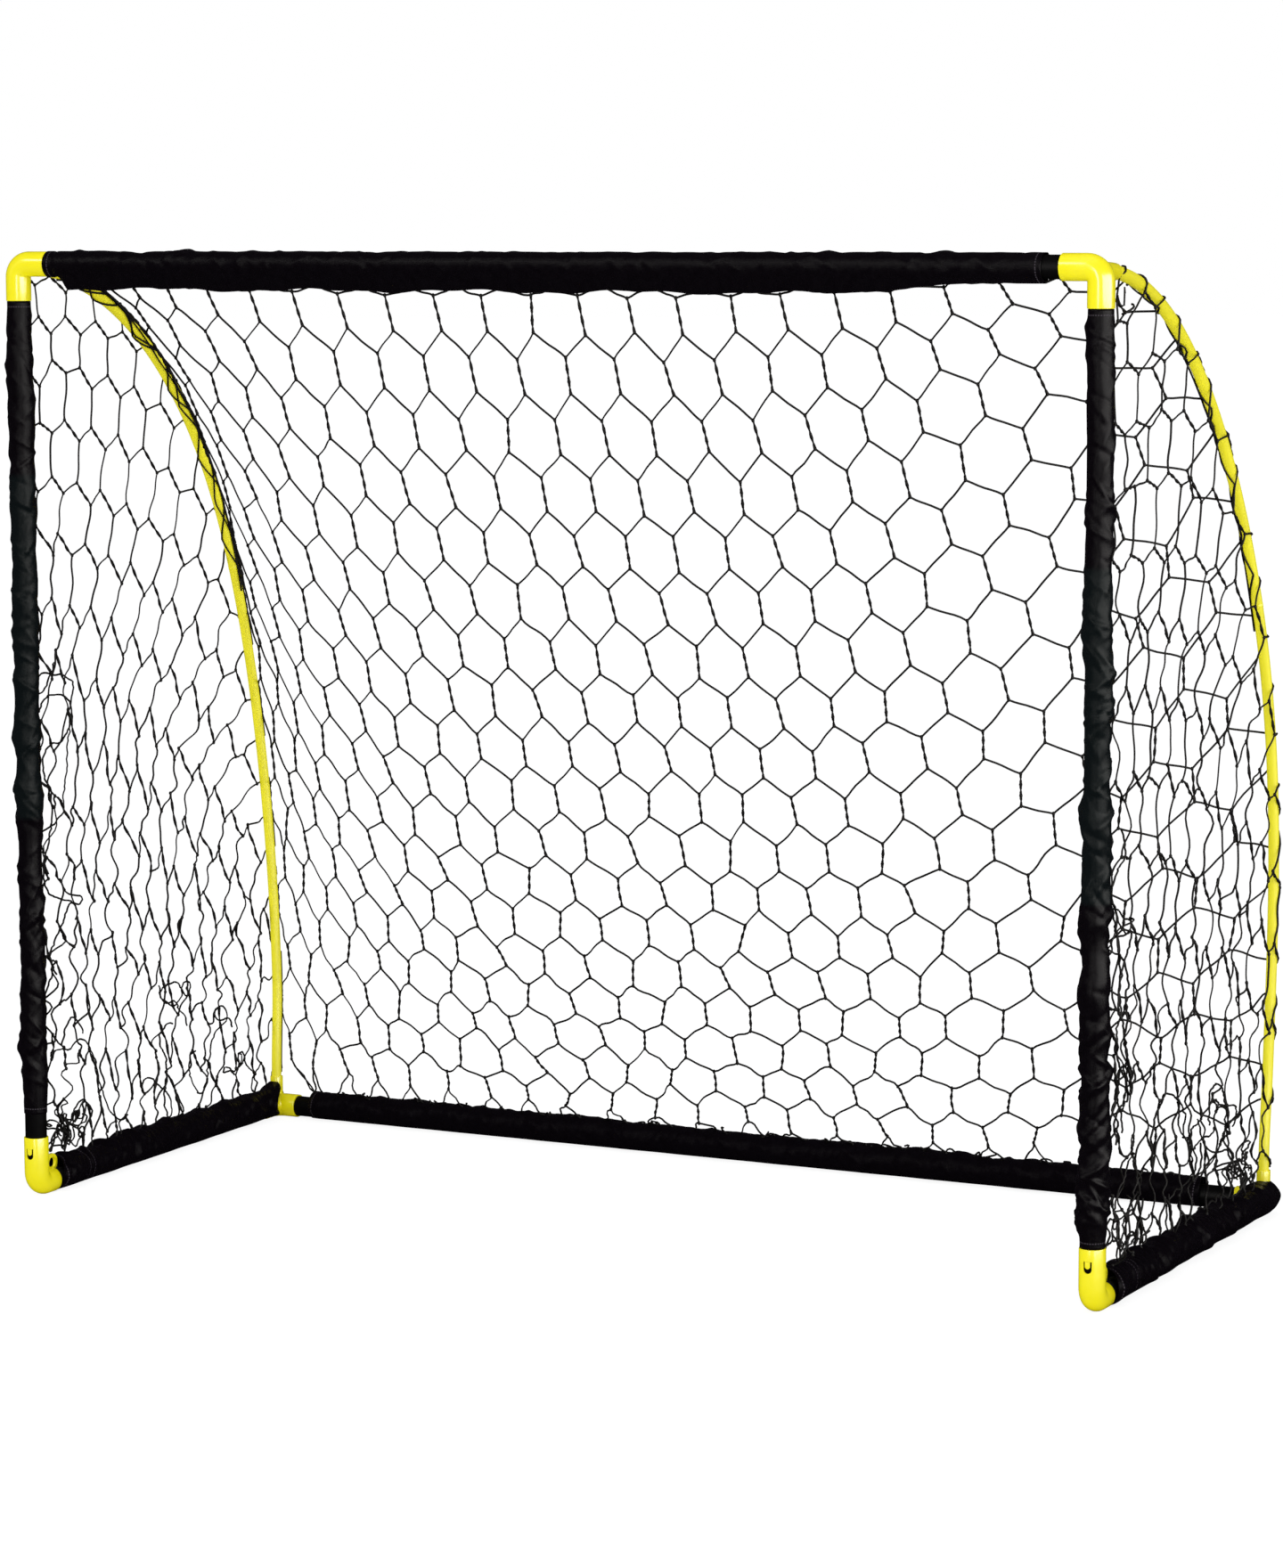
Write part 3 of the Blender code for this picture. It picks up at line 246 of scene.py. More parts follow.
# %% Moulded ABS
abs_plastic, tree = new_material("moulded_abs_optic_yellow")
place = add(tree, "ShaderNodeTexCoord").outputs["Object"]
clouds = add(tree, "ShaderNodeTexNoise", {"Scale": 22.0, "Detail": 2.0}, {"Vector": place})
tone = add(
    tree, "ShaderNodeMix", {"data_type": "RGBA", 6: linear("F4E706"), 7: linear("F8ED14")}, {0: clouds},
)
peel = add(tree, "ShaderNodeTexNoise", {"Scale": 480.0, "Detail": 1.0}, {"Vector": place})
skin = add(tree, "ShaderNodeBump", {"Strength": 0.12, "Distance": 0.0003}, {"Height": peel})
gloss = add(
    tree, "ShaderNodeMapRange", {"From Min": 0.3, "From Max": 0.7, "To Min": 0.20, "To Max": 0.28},
    {"Value": clouds},
)
shader = add(
    tree, "ShaderNodeBsdfPrincipled", {"IOR": 1.54, "Coat Weight": 0.4, "Coat Roughness": 0.14},
    {"Base Color": tone.outputs[2], "Roughness": gloss, "Normal": skin},
)
add(tree, "ShaderNodeOutputMaterial", None, {"Surface": shader})

# %% [markdown]
# The bowed poles are drawn fibreglass rod with a yellow skin. Drawing leaves very fine lines
# along the rod, here a noise that is stretched to patches 4 mm wide and 80 mm long, and a
# softer, wider shine than the moulded corners have.

# %% Drawn fibreglass
pole_skin, tree = new_material("drawn_fibreglass_yellow")
place = add(tree, "ShaderNodeTexCoord").outputs["Object"]
drawn = add(tree, "ShaderNodeMapping", {"Scale": (240.0, 12.0, 12.0)}, {"Vector": place})
lines = add(tree, "ShaderNodeTexNoise", {"Scale": 1.0, "Detail": 2.0}, {"Vector": drawn})
tone = add(tree, "ShaderNodeMix", {"data_type": "RGBA", 6: linear("F8ED14"), 7: linear("FAF024")}, {0: lines})
skin = add(tree, "ShaderNodeBump", {"Strength": 0.03, "Distance": 0.0002}, {"Height": lines})
shader = add(
    tree, "ShaderNodeBsdfPrincipled", {"IOR": 1.5, "Roughness": 0.34},
    {"Base Color": tone.outputs[2], "Normal": skin},
)
add(tree, "ShaderNodeOutputMaterial", None, {"Surface": shader})

# %% [markdown]
# The frame tubes are steel with a satin black powder coat. The powder melts in place, which
# leaves pebbles of about 1 mm, and handling leaves duller patches of about 30 mm. The spigots
# inside the tubes are bare drawn steel with fine scratches, and the fold hinges grained nylon.

# %% Powder coat, steel and nylon
powder_coat, tree = new_material("black_powder_coat")
place = add(tree, "ShaderNodeTexCoord").outputs["Object"]
pebble = add(tree, "ShaderNodeTexNoise", {"Scale": 900.0, "Detail": 2.0}, {"Vector": place})
skin = add(tree, "ShaderNodeBump", {"Strength": 0.25, "Distance": 0.0002}, {"Height": pebble})
wear = add(tree, "ShaderNodeTexNoise", {"Scale": 35.0, "Detail": 3.0}, {"Vector": place})
gloss = add(
    tree, "ShaderNodeMapRange", {"From Min": 0.3, "From Max": 0.7, "To Min": 0.34, "To Max": 0.5},
    {"Value": wear},
)
shader = add(
    tree, "ShaderNodeBsdfPrincipled",
    {"Base Color": linear("070607"), "IOR": 1.5, "Specular IOR Level": 0.06},
    {"Roughness": gloss, "Normal": skin},
)
add(tree, "ShaderNodeOutputMaterial", None, {"Surface": shader})

bare_steel, tree = new_material("drawn_steel")
place = add(tree, "ShaderNodeTexCoord").outputs["Object"]
scratch = add(tree, "ShaderNodeTexNoise", {"Scale": 600.0, "Detail": 3.0}, {"Vector": place})
gloss = add(tree, "ShaderNodeMapRange", {"To Min": 0.28, "To Max": 0.45}, {"Value": scratch})
shader = add(
    tree, "ShaderNodeBsdfPrincipled", {"Base Color": linear("B4B4B6"), "Metallic": 1.0}, {"Roughness": gloss},
)
add(tree, "ShaderNodeOutputMaterial", None, {"Surface": shader})

nylon, tree = new_material("moulded_black_nylon")
place = add(tree, "ShaderNodeTexCoord").outputs["Object"]
grain = add(tree, "ShaderNodeTexNoise", {"Scale": 700.0, "Detail": 2.0}, {"Vector": place})
skin = add(tree, "ShaderNodeBump", {"Strength": 0.2, "Distance": 0.0002}, {"Height": grain})
shader = add(
    tree, "ShaderNodeBsdfPrincipled", {"Base Color": linear("121213"), "Roughness": 0.5, "IOR": 1.53},
    {"Normal": skin},
)
add(tree, "ShaderNodeOutputMaterial", None, {"Surface": shader})

# %% [markdown]
# The sleeves are thin woven polyester, black with a purple cast where light grazes it. The real
# threads are about 0.3 mm apart, too fine to show, so the weave is drawn at 1.1 mm. Each sleeve
# has a UV map in metres, along and round it, and an attribute with the distance to its nearer
# hem, which carries a line of stitches. The post sleeves have a plain charcoal panel printed on,
# and the cloth on the ground is duller than the rest.

# %% Woven polyester
THREAD = 0.0011
WAVE_STEP = 2 * math.pi / 20
STITCH_PITCH = 0.0045
HEM_LINE = 0.0085
PANEL_BLUR = 0.004


def print_panel(tree, colour, foot, top):
    """A charcoal panel on the front of the cloth, between two heights."""
    place = add(tree, "ShaderNodeTexCoord").outputs["Object"]
    height = add(tree, "ShaderNodeSeparateXYZ", None, {"Vector": place}).outputs[2]
    low, high = [
        add(tree, "ShaderNodeMapRange", {"From Min": edge - blur, "From Max": edge + blur}, {"Value": height})
        for edge, blur in ((foot, PANEL_BLUR), (top, -PANEL_BLUR))
    ]
    tall = add(tree, "ShaderNodeMath", {"operation": "MULTIPLY"}, {0: low, 1: high})
    normal = add(tree, "ShaderNodeNewGeometry").outputs["Normal"]
    face = add(tree, "ShaderNodeSeparateXYZ", None, {"Vector": normal}).outputs[1]
    front = add(tree, "ShaderNodeMapRange", {"From Min": 0.25, "From Max": 0.05}, {"Value": face})
    printed = add(tree, "ShaderNodeMath", {"operation": "MULTIPLY"}, {0: tall, 1: front})
    dyed = add(tree, "ShaderNodeMix", {"data_type": "RGBA", 7: linear("0B1011")}, {0: printed, 6: colour})
    return dyed.outputs[2]


def woven_polyester(name, panel=None, shine=0.06):
    """Sleeve cloth; panel is the lowest and highest place of a printed panel."""
    material, tree = new_material(name)
    cloth = add(tree, "ShaderNodeUVMap", {"uv_map": "cloth"})
    waves = []
    for way, pitch in (("X", THREAD), ("Y", THREAD), ("Y", STITCH_PITCH)):
        bands = {"bands_direction": way, "Scale": WAVE_STEP / pitch}
        waves.append(add(tree, "ShaderNodeTexWave", bands, {"Vector": cloth}).outputs[1])
    warp, weft, dash = waves
    weave = add(tree, "ShaderNodeMath", {"operation": "MULTIPLY"}, {0: warp, 1: weft})
    fine = add(
        tree, "ShaderNodeTexNoise", {"Scale": 85.0, "Detail": 3.0, "Distortion": 0.6}, {"Vector": cloth},
    )
    tone = add(
        tree, "ShaderNodeMix", {"data_type": "RGBA", 6: linear("040204"), 7: linear("0B080C")}, {0: fine},
    )
    colour = print_panel(tree, tone.outputs[2], *panel) if panel else tone.outputs[2]
    edge = add(tree, "ShaderNodeAttribute", {"attribute_name": "hem"}).outputs["Fac"]
    off = add(tree, "ShaderNodeMath", {"operation": "SUBTRACT", 1: HEM_LINE}, {0: edge})
    off = add(tree, "ShaderNodeMath", {"operation": "ABSOLUTE"}, {0: off})
    line = add(tree, "ShaderNodeMapRange", {"From Min": 0.0012, "From Max": 0.0004}, {"Value": off})
    dash = add(tree, "ShaderNodeMapRange", {"From Min": 0.25, "From Max": 0.4}, {"Value": dash})
    stitch = add(tree, "ShaderNodeMath", {"operation": "MULTIPLY"}, {0: line, 1: dash})
    sewn = add(tree, "ShaderNodeMix", {"data_type": "RGBA", 7: linear("3E393F")}, {0: stitch, 6: colour})
    rise = add(tree, "ShaderNodeMath", {"operation": "MULTIPLY_ADD", 1: 0.35}, {0: fine, 2: weave})
    rise = add(tree, "ShaderNodeMath", {"operation": "MULTIPLY_ADD", 1: 1.5}, {0: stitch, 2: rise})
    skin = add(tree, "ShaderNodeBump", {"Strength": 0.22, "Distance": 0.0006}, {"Height": rise})
    gloss = add(
        tree, "ShaderNodeMapRange", {"From Min": 0.3, "From Max": 0.7, "To Min": 0.22, "To Max": 0.32},
        {"Value": fine},
    )
    sheen = {"Sheen Weight": 0.015, "Sheen Roughness": 0.5, "Sheen Tint": linear("9C86A4")}
    shader = add(
        tree, "ShaderNodeBsdfPrincipled", {"IOR": 1.45, "Specular IOR Level": shine, **sheen},
        {"Base Color": sewn.outputs[2], "Roughness": gloss, "Normal": skin},
    )
    add(tree, "ShaderNodeOutputMaterial", None, {"Surface": shader})
    return material


sleeve_cloth = woven_polyester("woven_polyester_black")
base_cloth = woven_polyester("woven_polyester_black_dull", shine=0.02)
left_post_cloth = woven_polyester("woven_polyester_left_panel", panel=(0.62, 1.17))
right_post_cloth = woven_polyester("woven_polyester_right_panel", panel=(0.60, 1.08))

# %% [markdown]
# The net is knotted from polyethylene twine, black with a warm brown tinge. Its fibres are drawn
# as a fine noise, with patches of 0.7 mm.

# %% Twine
twine, tree = new_material("polyethylene_twine_black")
place = add(tree, "ShaderNodeTexCoord").outputs["Object"]
fibre = add(tree, "ShaderNodeTexNoise", {"Scale": 1400.0, "Detail": 2.0}, {"Vector": place})
tone = add(tree, "ShaderNodeMix", {"data_type": "RGBA", 6: linear("050303"), 7: linear("120D0C")}, {0: fibre})
skin = add(tree, "ShaderNodeBump", {"Strength": 0.5, "Distance": 0.0003}, {"Height": fibre})
shader = add(
    tree, "ShaderNodeBsdfPrincipled", {"Roughness": 0.62, "IOR": 1.5, "Specular IOR Level": 0.15},
    {"Base Color": tone.outputs[2], "Normal": skin},
)
add(tree, "ShaderNodeOutputMaterial", None, {"Surface": shader})
print("materials:", [m.name for m in bpy.data.materials if m.users])

# %% [markdown]
# A few helpers do what the hand does again and again: pick one object, add a modifier and apply
# it, join or cut solids, and finish a piece. Finishing puts the place of a piece into its mesh,
# gives it its material and ties it to the body of the goal that carries it.

# %% Workbench
ROUND = 48
REAL_EDGE = math.radians(32)


def pick(piece):
    """Make one object the only selected and the active one."""
    bpy.ops.object.select_all(action="DESELECT")
    piece.select_set(True)
    bpy.context.view_layer.objects.active = piece


def bench(data):
    """Put a new mesh or curve in the scene and pick it."""
    piece = bpy.data.objects.new(data.name, data)
    bpy.context.scene.collection.objects.link(piece)
    pick(piece)
    return piece


def apply(piece, kind, **settings):
    """Add a modifier, set it and apply it."""
    pick(piece)
    modifier = piece.modifiers.new(kind.lower(), kind)
    for name, value in settings.items():
        setattr(modifier, name, value)
    bpy.ops.object.modifier_apply(modifier=modifier.name)


def combine(piece, other, operation):
    """Join another solid to a piece, or cut it away from it."""
    apply(piece, "BOOLEAN", object=other, operation=operation, solver="EXACT")
    bpy.data.objects.remove(other, do_unlink=True)


def finish(piece, name, material, body, nodes):
    """Name a piece, put its place in its mesh, give it its material, tie it to its body and hide its CAD
    nodes.
    """
    pick(piece)
    bpy.ops.object.transform_apply(location=True, rotation=True, scale=True)
    piece.name = piece.data.name = name
    piece.data.materials.clear()
    piece.data.materials.append(material)
    if body:
        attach(piece, body)
    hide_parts(*nodes)


def crisp(piece):
    """Shade a piece smooth and keep its real edges."""
    pick(piece)
    bpy.ops.object.shade_smooth_by_angle(angle=REAL_EDGE)


# %% [markdown]
# Straight tubes and bent fittings start from one round face. Pushed along its axis it is a rod,
# and spun a quarter turn about a point beside it, it is an elbow. The rims are bevelled while
# the shape is still simple, and bores are cut with other rods afterwards.

# %% Rods and elbows
def round_face(place, direction, radius, sides=ROUND):
    """A round face square to a direction, in edit mode."""
    bpy.ops.object.select_all(action="DESELECT")
    turn = Vector(direction).to_track_quat("Z", "Y").to_euler()
    bpy.ops.mesh.primitive_circle_add(
        vertices=sides, radius=radius, fill_type="NGON", location=place, rotation=turn,
    )
    bpy.ops.object.mode_set(mode="EDIT")
    bpy.ops.mesh.select_mode(type="FACE")
    bpy.ops.mesh.select_all(action="SELECT")
    return bpy.context.active_object


def extrude(way):
    """Push the selected face along a way."""
    bpy.ops.mesh.extrude_region_move(TRANSFORM_OT_translate={"value": way})


def round_rims(piece, width):
    """Turn the faces out, bevel the edges between a rod's sides and its ends and leave edit mode."""
    bpy.ops.mesh.select_all(action="SELECT")
    bpy.ops.mesh.normals_make_consistent(inside=False)
    bpy.ops.mesh.select_mode(type="EDGE")
    bpy.ops.mesh.select_all(action="DESELECT")
    mesh = bmesh.from_edit_mesh(piece.data)
    for edge in mesh.edges:
        edge.select = any(len(face.verts) > 4 for face in edge.link_faces)
    bmesh.update_edit_mesh(piece.data)
    if width:
        bpy.ops.mesh.bevel(offset=width, segments=3)
    bpy.ops.object.mode_set(mode="OBJECT")


def rod(start, end, radius, rim=0.0, sides=ROUND):
    """A straight round rod with rounded rims."""
    start, end = Vector(start), Vector(end)
    piece = round_face(start, end - start, radius, sides)
    extrude(end - start)
    round_rims(piece, rim)
    return piece


def elbow(start, corner, end, radius, bend, rim):
    """A round rod with one quarter bend."""
    start, corner, end = Vector(start), Vector(corner), Vector(end)
    along = (corner - start).normalized()
    away = (end - corner).normalized()
    piece = round_face(start, along, radius)
    extrude(corner - along * bend - start)
    centre = corner + (away - along) * bend
    bpy.ops.mesh.spin(steps=12, angle=-math.pi / 2, center=centre, axis=along.cross(away))
    extrude(end - corner - away * bend)
    round_rims(piece, rim)
    return piece


# %% [markdown]
# The frame tubes: ten lengths of 35 mm tube that meet halfway along each member. A tube is a rod
# with a bore cut through it, and its ends are cut square with the burr just taken off.

# %% Frame tubes
TUBE_WALL = 0.0012
TUBE_RIM = 0.0003
BORE_REACH = 0.01
TUBES = {
    "front_frame": ("crossbar_tube", "upper_post", "lower_post"),
    "base_frame": ("side_tube", "rear_tube"),
}
tube_nodes = [
    (f"{kind}_{side}", body) for body, kinds in TUBES.items() for kind in kinds for side, _ in HANDS
]
for node, body in tube_nodes:
    low, high = (Vector(corner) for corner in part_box(node))
    size = high - low
    along = max(range(3), key=lambda way: size[way])
    start, end = (low + high) / 2, (low + high) / 2
    start[along], end[along] = low[along], high[along]
    tube = rod(start, end, TUBE_RADIUS, rim=TUBE_RIM)
    reach = (end - start).normalized() * BORE_REACH
    combine(tube, rod(start - reach, end + reach, TUBE_RADIUS - TUBE_WALL), "DIFFERENCE")
    crisp(tube)
    finish(tube, f"{node}_drawn", powder_coat, body, [node])
print("tubes:", len(tube_nodes))

# %% [markdown]
# The bowed poles rise from the rear corners, bend over and run forward into the top corners. The
# fittings, the poles and the nets all follow this one line, so it comes first, as a function.

# %% Arch line of the poles
FITTING_RADIUS = 0.01985
BEND = 0.02085
GAP = 0.0003
ARCH_TOP = BAR_Z - 0.005
ARCH_BELLY, ARCH_BELLY_HEIGHT, ARCH_POWER, ARCH_BOW = 0.009, 0.251, 2.44, 0.014
ARCH_REACH = 0.755
SOCKET_TOP = BASE_Z + 0.050
POLE_JOINT = 0.977
POLE_THICK, BUTT_THICKER = 0.0170, 0.0030


def arch_reach(z):
    """How far behind the posts the pole's axis is at a height."""
    z = np.asarray(z, float)
    above_belly = np.clip((z - ARCH_BELLY_HEIGHT) / (ARCH_TOP - ARCH_BELLY_HEIGHT), 0, 1)
    below = np.clip((ARCH_BELLY_HEIGHT - z) / (ARCH_BELLY_HEIGHT - SOCKET_TOP), 0, 1)
    return ARCH_REACH * np.sqrt(1 - above_belly**ARCH_POWER) - ARCH_BELLY * (1 - np.cos(np.pi * below)) / 2


def arch_bow(z):
    """How far the pole bows out sideways at a height."""
    span = np.clip((np.asarray(z, float) - SOCKET_TOP) / (ARCH_TOP - SOCKET_TOP), 0, 1)
    return ARCH_BOW * np.sin(np.pi * span) ** 2


def arch_height(reach):
    """The height of the pole's upper curve at a distance behind the posts."""
    share = (1 - (reach / ARCH_REACH) ** 2) ** (1 / ARCH_POWER)
    return ARCH_BELLY_HEIGHT + (ARCH_TOP - ARCH_BELLY_HEIGHT) * share


def arch_heights(high, low, count):
    """Heights from high to low, evenly spread along the pole."""
    span = ARCH_TOP - ARCH_BELLY_HEIGHT
    highest = math.acos(min(1, max(0, (high - ARCH_BELLY_HEIGHT) / span)))
    angles = np.linspace(highest, math.pi / 2, count)
    heights = list(ARCH_BELLY_HEIGHT + span * np.cos(angles))
    if low < ARCH_BELLY_HEIGHT:
        heights += list(np.linspace(ARCH_BELLY_HEIGHT, low, max(4, count // 6))[1:])
    return np.array([height for height in heights if height >= low - 1e-6])


def arch_points(hand, heights):
    """Points of the pole's axis in the goal's own place."""
    return np.column_stack((hand * (POST_X + arch_bow(heights)), POST_Y + arch_reach(heights), heights))


def pole_radius(z):
    """The pole is thickest at its butt in the top corner and even below its joint."""
    share = np.clip((np.asarray(z, float) - POLE_JOINT) / (ARCH_TOP - POLE_JOINT), 0, 1)
    return (POLE_THICK + BUTT_THICKER * share**2) / 2


whole_pole = arch_points(1, arch_heights(ARCH_TOP, SOCKET_TOP, 200))
print("pole length:", round(float(np.linalg.norm(np.diff(whole_pole, axis=0), axis=1).sum()), 3), "m")

# %% [markdown]
# A rod that follows a curved line is drawn as a curve with a round bevel, whose points carry the
# radius, and then converted to a mesh, so that it can be cut.

# %% Curved rods
def curved_rod(points, radii):
    """A round rod along points, as a mesh with closed ends."""
    line = bpy.data.curves.new("curved_rod", "CURVE")
    line.dimensions = "3D"
    line.bevel_depth = 1.0
    line.bevel_resolution = 7
    line.use_fill_caps = True
    spline = line.splines.new("POLY")
    spline.points.add(len(points) - 1)
    for point, place, radius in zip(spline.points, points, radii):
        point.co = (*place, 1)
        point.radius = float(radius)
    bench(line)
    bpy.ops.object.convert(target="MESH")
    piece = bpy.context.active_object
    bpy.ops.object.mode_set(mode="EDIT")
    bpy.ops.mesh.select_all(action="SELECT")
    bpy.ops.mesh.remove_doubles(threshold=0.00001)
    bpy.ops.mesh.normals_make_consistent(inside=False)
    bpy.ops.object.mode_set(mode="OBJECT")
    return piece


# %% [markdown]
# The top corner is one moulding with three sockets: for the crossbar, for the post, and a stub
# behind for the bowed pole. Its bend is large outside and almost a sharp corner inside. The
# sockets for the tubes are bored with a rod, as they are on all the corners and feet.

# %% Top corners
TOP_LEG = 0.058
STUB_LENGTH, STUB_RADIUS, STUB_BORE, STUB_STEPS = 0.050, 0.0125, 0.0103, 8
SOCKET_FLOOR, SOCKET_OPEN = 0.02285, 0.002
FITTING_RIM = 0.0008


def bore_socket(body, corner, way, leg, gap=GAP):
    """Bore a leg of a fitting for the tube that goes into it."""
    mouth = corner + way * (leg + SOCKET_OPEN)
    combine(body, rod(corner + way * SOCKET_FLOOR, mouth, TUBE_RADIUS + gap), "DIFFERENCE")


for side, hand in HANDS:
    corner = Vector((hand * POST_X, POST_Y, BAR_Z))
    inward, down = Vector((-hand, 0, 0)), Vector((0, 0, -1))
    ends = corner + inward * TOP_LEG, corner + down * TOP_LEG
    body = elbow(ends[0], corner, ends[1], FITTING_RADIUS, BEND, rim=FITTING_RIM)
    reaches = np.linspace(0.0, STUB_LENGTH, STUB_STEPS)
    heights = np.array([arch_height(reach) for reach in reaches])
    seat = np.column_stack((np.full(STUB_STEPS, hand * POST_X), POST_Y + reaches, heights))
    combine(body, curved_rod(seat, np.full(STUB_STEPS, STUB_RADIUS)), "UNION")
    longer = np.vstack((seat[1:], seat[-1] + (seat[-1] - seat[-2])))
    combine(body, curved_rod(longer, np.full(STUB_STEPS, STUB_BORE)), "DIFFERENCE")
    for way in (inward, down):
        bore_socket(body, corner, way, TOP_LEG)
    crisp(body)
    finish(body, f"corner_top_{side}", abs_plastic, "front_frame", [f"top_corner_{side}"])
    print(body.name, len(body.data.polygons), "faces")

# %% [markdown]
# The rear corners lie on the ground: one socket runs forward to the side tube, one inward to the
# rear tube, and an upright one takes the pole. A flat is ground off underneath.

# %% Rear corners
REAR_LEG = 0.045
SEAT_RADIUS, SEAT_BORE, SEAT_RIM = 0.0110, 0.0088, 0.0006
SEAT_FLOOR = Vector((0, 0, 0.004))
SEAT_OPEN = Vector((0, 0, 0.01))


def trim_under(piece, height):
    """Cut off what is under a height and close the cut."""
    pick(piece)
    bpy.ops.object.mode_set(mode="EDIT")
    bpy.ops.mesh.select_all(action="SELECT")
    bpy.ops.mesh.bisect(plane_co=(0, 0, height), plane_no=(0, 0, 1), use_fill=True, clear_inner=True)
    bpy.ops.object.mode_set(mode="OBJECT")


for side, hand in HANDS:
    corner = Vector((hand * POST_X, REAR_Y, BASE_Z))
    inward, forward = Vector((-hand, 0, 0)), Vector((0, -1, 0))
    ends = corner + forward * REAR_LEG, corner + inward * REAR_LEG
    body = elbow(ends[0], corner, ends[1], FITTING_RADIUS, BEND, rim=FITTING_RIM)
    top = Vector((corner.x, corner.y, SOCKET_TOP))
    combine(body, rod(corner, top, SEAT_RADIUS, rim=SEAT_RIM), "UNION")
    combine(body, rod(corner + SEAT_FLOOR, top + SEAT_OPEN, SEAT_BORE), "DIFFERENCE")
    for way in (forward, inward):
        bore_socket(body, corner, way, REAR_LEG)
    trim_under(body, 0)
    crisp(body)
    finish(body, f"corner_rear_{side}", abs_plastic, "base_frame", [f"rear_corner_{side}"])
    print(body.name, len(body.data.polygons), "faces")

# %% [markdown]
# The front foot is an elbow that stands the post on the ground. An eyelet in its crook takes a
# peg or cord, and a window in its front frames a springy tongue, whose barb locks the post. The
# window and the tongue have one outline, half round below and straight above, so one function
# makes both blocks.

# %% Arched blocks
FOOT_SOCKET, FOOT_LEG = 0.078, 0.0425
EYELET_SETBACK, EYELET_RADIUS, EYELET_HOLE, EYELET_THICK = 0.041, 0.0155, 0.0095, 0.005
EYELET_RIM = 0.0011
EYELET_Z = BASE_Z + FITTING_RADIUS - 0.008 + EYELET_RADIUS
WINDOW_WIDTH, WINDOW_TALL, WINDOW_Z = 0.0127, 0.0175, BASE_Z + 0.052
WINDOW_FRONT = POST_Y - 0.04
TONGUE_WIDTH, TONGUE_TALL, TONGUE_THICK = 0.0078, 0.0103, 0.0018
TONGUE_TOP = WINDOW_Z + WINDOW_TALL / 2 - GAP
TONGUE_RIM = 0.0004
BARB_RADIUS, BARB_LONG, BARB_RIM = 0.0028, 0.0022, 0.0006
SHARP = {"segments": 2, "limit_method": "ANGLE", "angle_limit": math.radians(40)}


def arched_block(x, top, width, tall, front, back):
    """A rod whose upper half is pressed flat and lifted, so that its top is straight."""
    centre = top - tall + width / 2
    block = rod((x, front, centre), (x, back, centre), width / 2, sides=32)
    bpy.ops.object.transform_apply(location=True, rotation=True, scale=True)
    bpy.ops.object.mode_set(mode="EDIT")
    bpy.ops.mesh.select_mode(type="VERT")
    bpy.ops.mesh.select_all(action="DESELECT")
    mesh = bmesh.from_edit_mesh(block.data)
    for vertex in mesh.verts:
        vertex.select = vertex.co.z > centre - 0.00001
    mesh.select_flush_mode()
    bmesh.update_edit_mesh(block.data)
    bpy.ops.transform.resize(value=(1, 1, 0), center_override=(x, front, top))
    bpy.ops.object.mode_set(mode="OBJECT")
    return block


# %% Front feet and snap tongues
upward, backward = Vector((0, 0, 1)), Vector((0, 1, 0))
half = Vector((EYELET_THICK / 2, 0, 0))
for side, hand in HANDS:
    x = hand * POST_X
    corner = Vector((x, POST_Y, BASE_Z))
    ends = corner + upward * FOOT_SOCKET, corner + backward * FOOT_LEG
    body = elbow(ends[0], corner, ends[1], FITTING_RADIUS, BEND, rim=FITTING_RIM)
    ring = Vector((x, POST_Y + EYELET_SETBACK, EYELET_Z))
    combine(body, rod(ring - half, ring + half, EYELET_RADIUS, rim=EYELET_RIM), "UNION")
    hole = rod(ring - 3 * half, ring + 3 * half, EYELET_HOLE)
    trim_under(hole, BASE_Z + FITTING_RADIUS + GAP)
    combine(body, hole, "DIFFERENCE")
    window_top, window_back = WINDOW_Z + WINDOW_TALL / 2, POST_Y - TUBE_RADIUS / 2
    window = arched_block(x, window_top, WINDOW_WIDTH, WINDOW_TALL, WINDOW_FRONT, window_back)
    combine(body, window, "DIFFERENCE")
    bore_socket(body, corner, upward, FOOT_SOCKET)
    bore_socket(body, corner, backward, FOOT_LEG, 1.5 * GAP)
    trim_under(body, 0)
    crisp(body)
    finish(body, f"foot_{side}", abs_plastic, "front_frame", [f"foot_elbow_{side}"])
    face = POST_Y - FITTING_RADIUS
    tongue = arched_block(x, TONGUE_TOP, TONGUE_WIDTH, TONGUE_TALL, face, face + TONGUE_THICK)
    apply(tongue, "BEVEL", width=TONGUE_RIM, **SHARP)
    barb_z = TONGUE_TOP - TONGUE_TALL + TONGUE_WIDTH / 2
    barb_ends = (x, face + TONGUE_THICK / 2, barb_z), (x, face + TONGUE_THICK + BARB_LONG, barb_z)
    combine(tongue, rod(*barb_ends, BARB_RADIUS, rim=BARB_RIM, sides=24), "UNION")
    crisp(tongue)
    finish(tongue, f"tongue_{side}", abs_plastic, f"tongue_{side}", [f"snap_tongue_{side}"])
    print(body.name, len(body.data.polygons), "faces,", tongue.name, len(tongue.data.polygons), "faces")

# %% [markdown]
# Each bowed pole comes in two halves that meet on a short inner ferrule, under a thin collar. It
# is thickest where it enters the top corner and springs down into the rear corner's socket. When
# the base folds up the poles bend out of the way.

# %% Bowed poles
JOINT_GAP = 0.0002
COLLAR_HALF, COLLAR_RADIUS, COLLAR_RIM = 0.003, 0.0088, 0.0003
BUTT_START, BUTT_STEPS = 0.0043, 6
POLE_END = BASE_Z + 0.0045


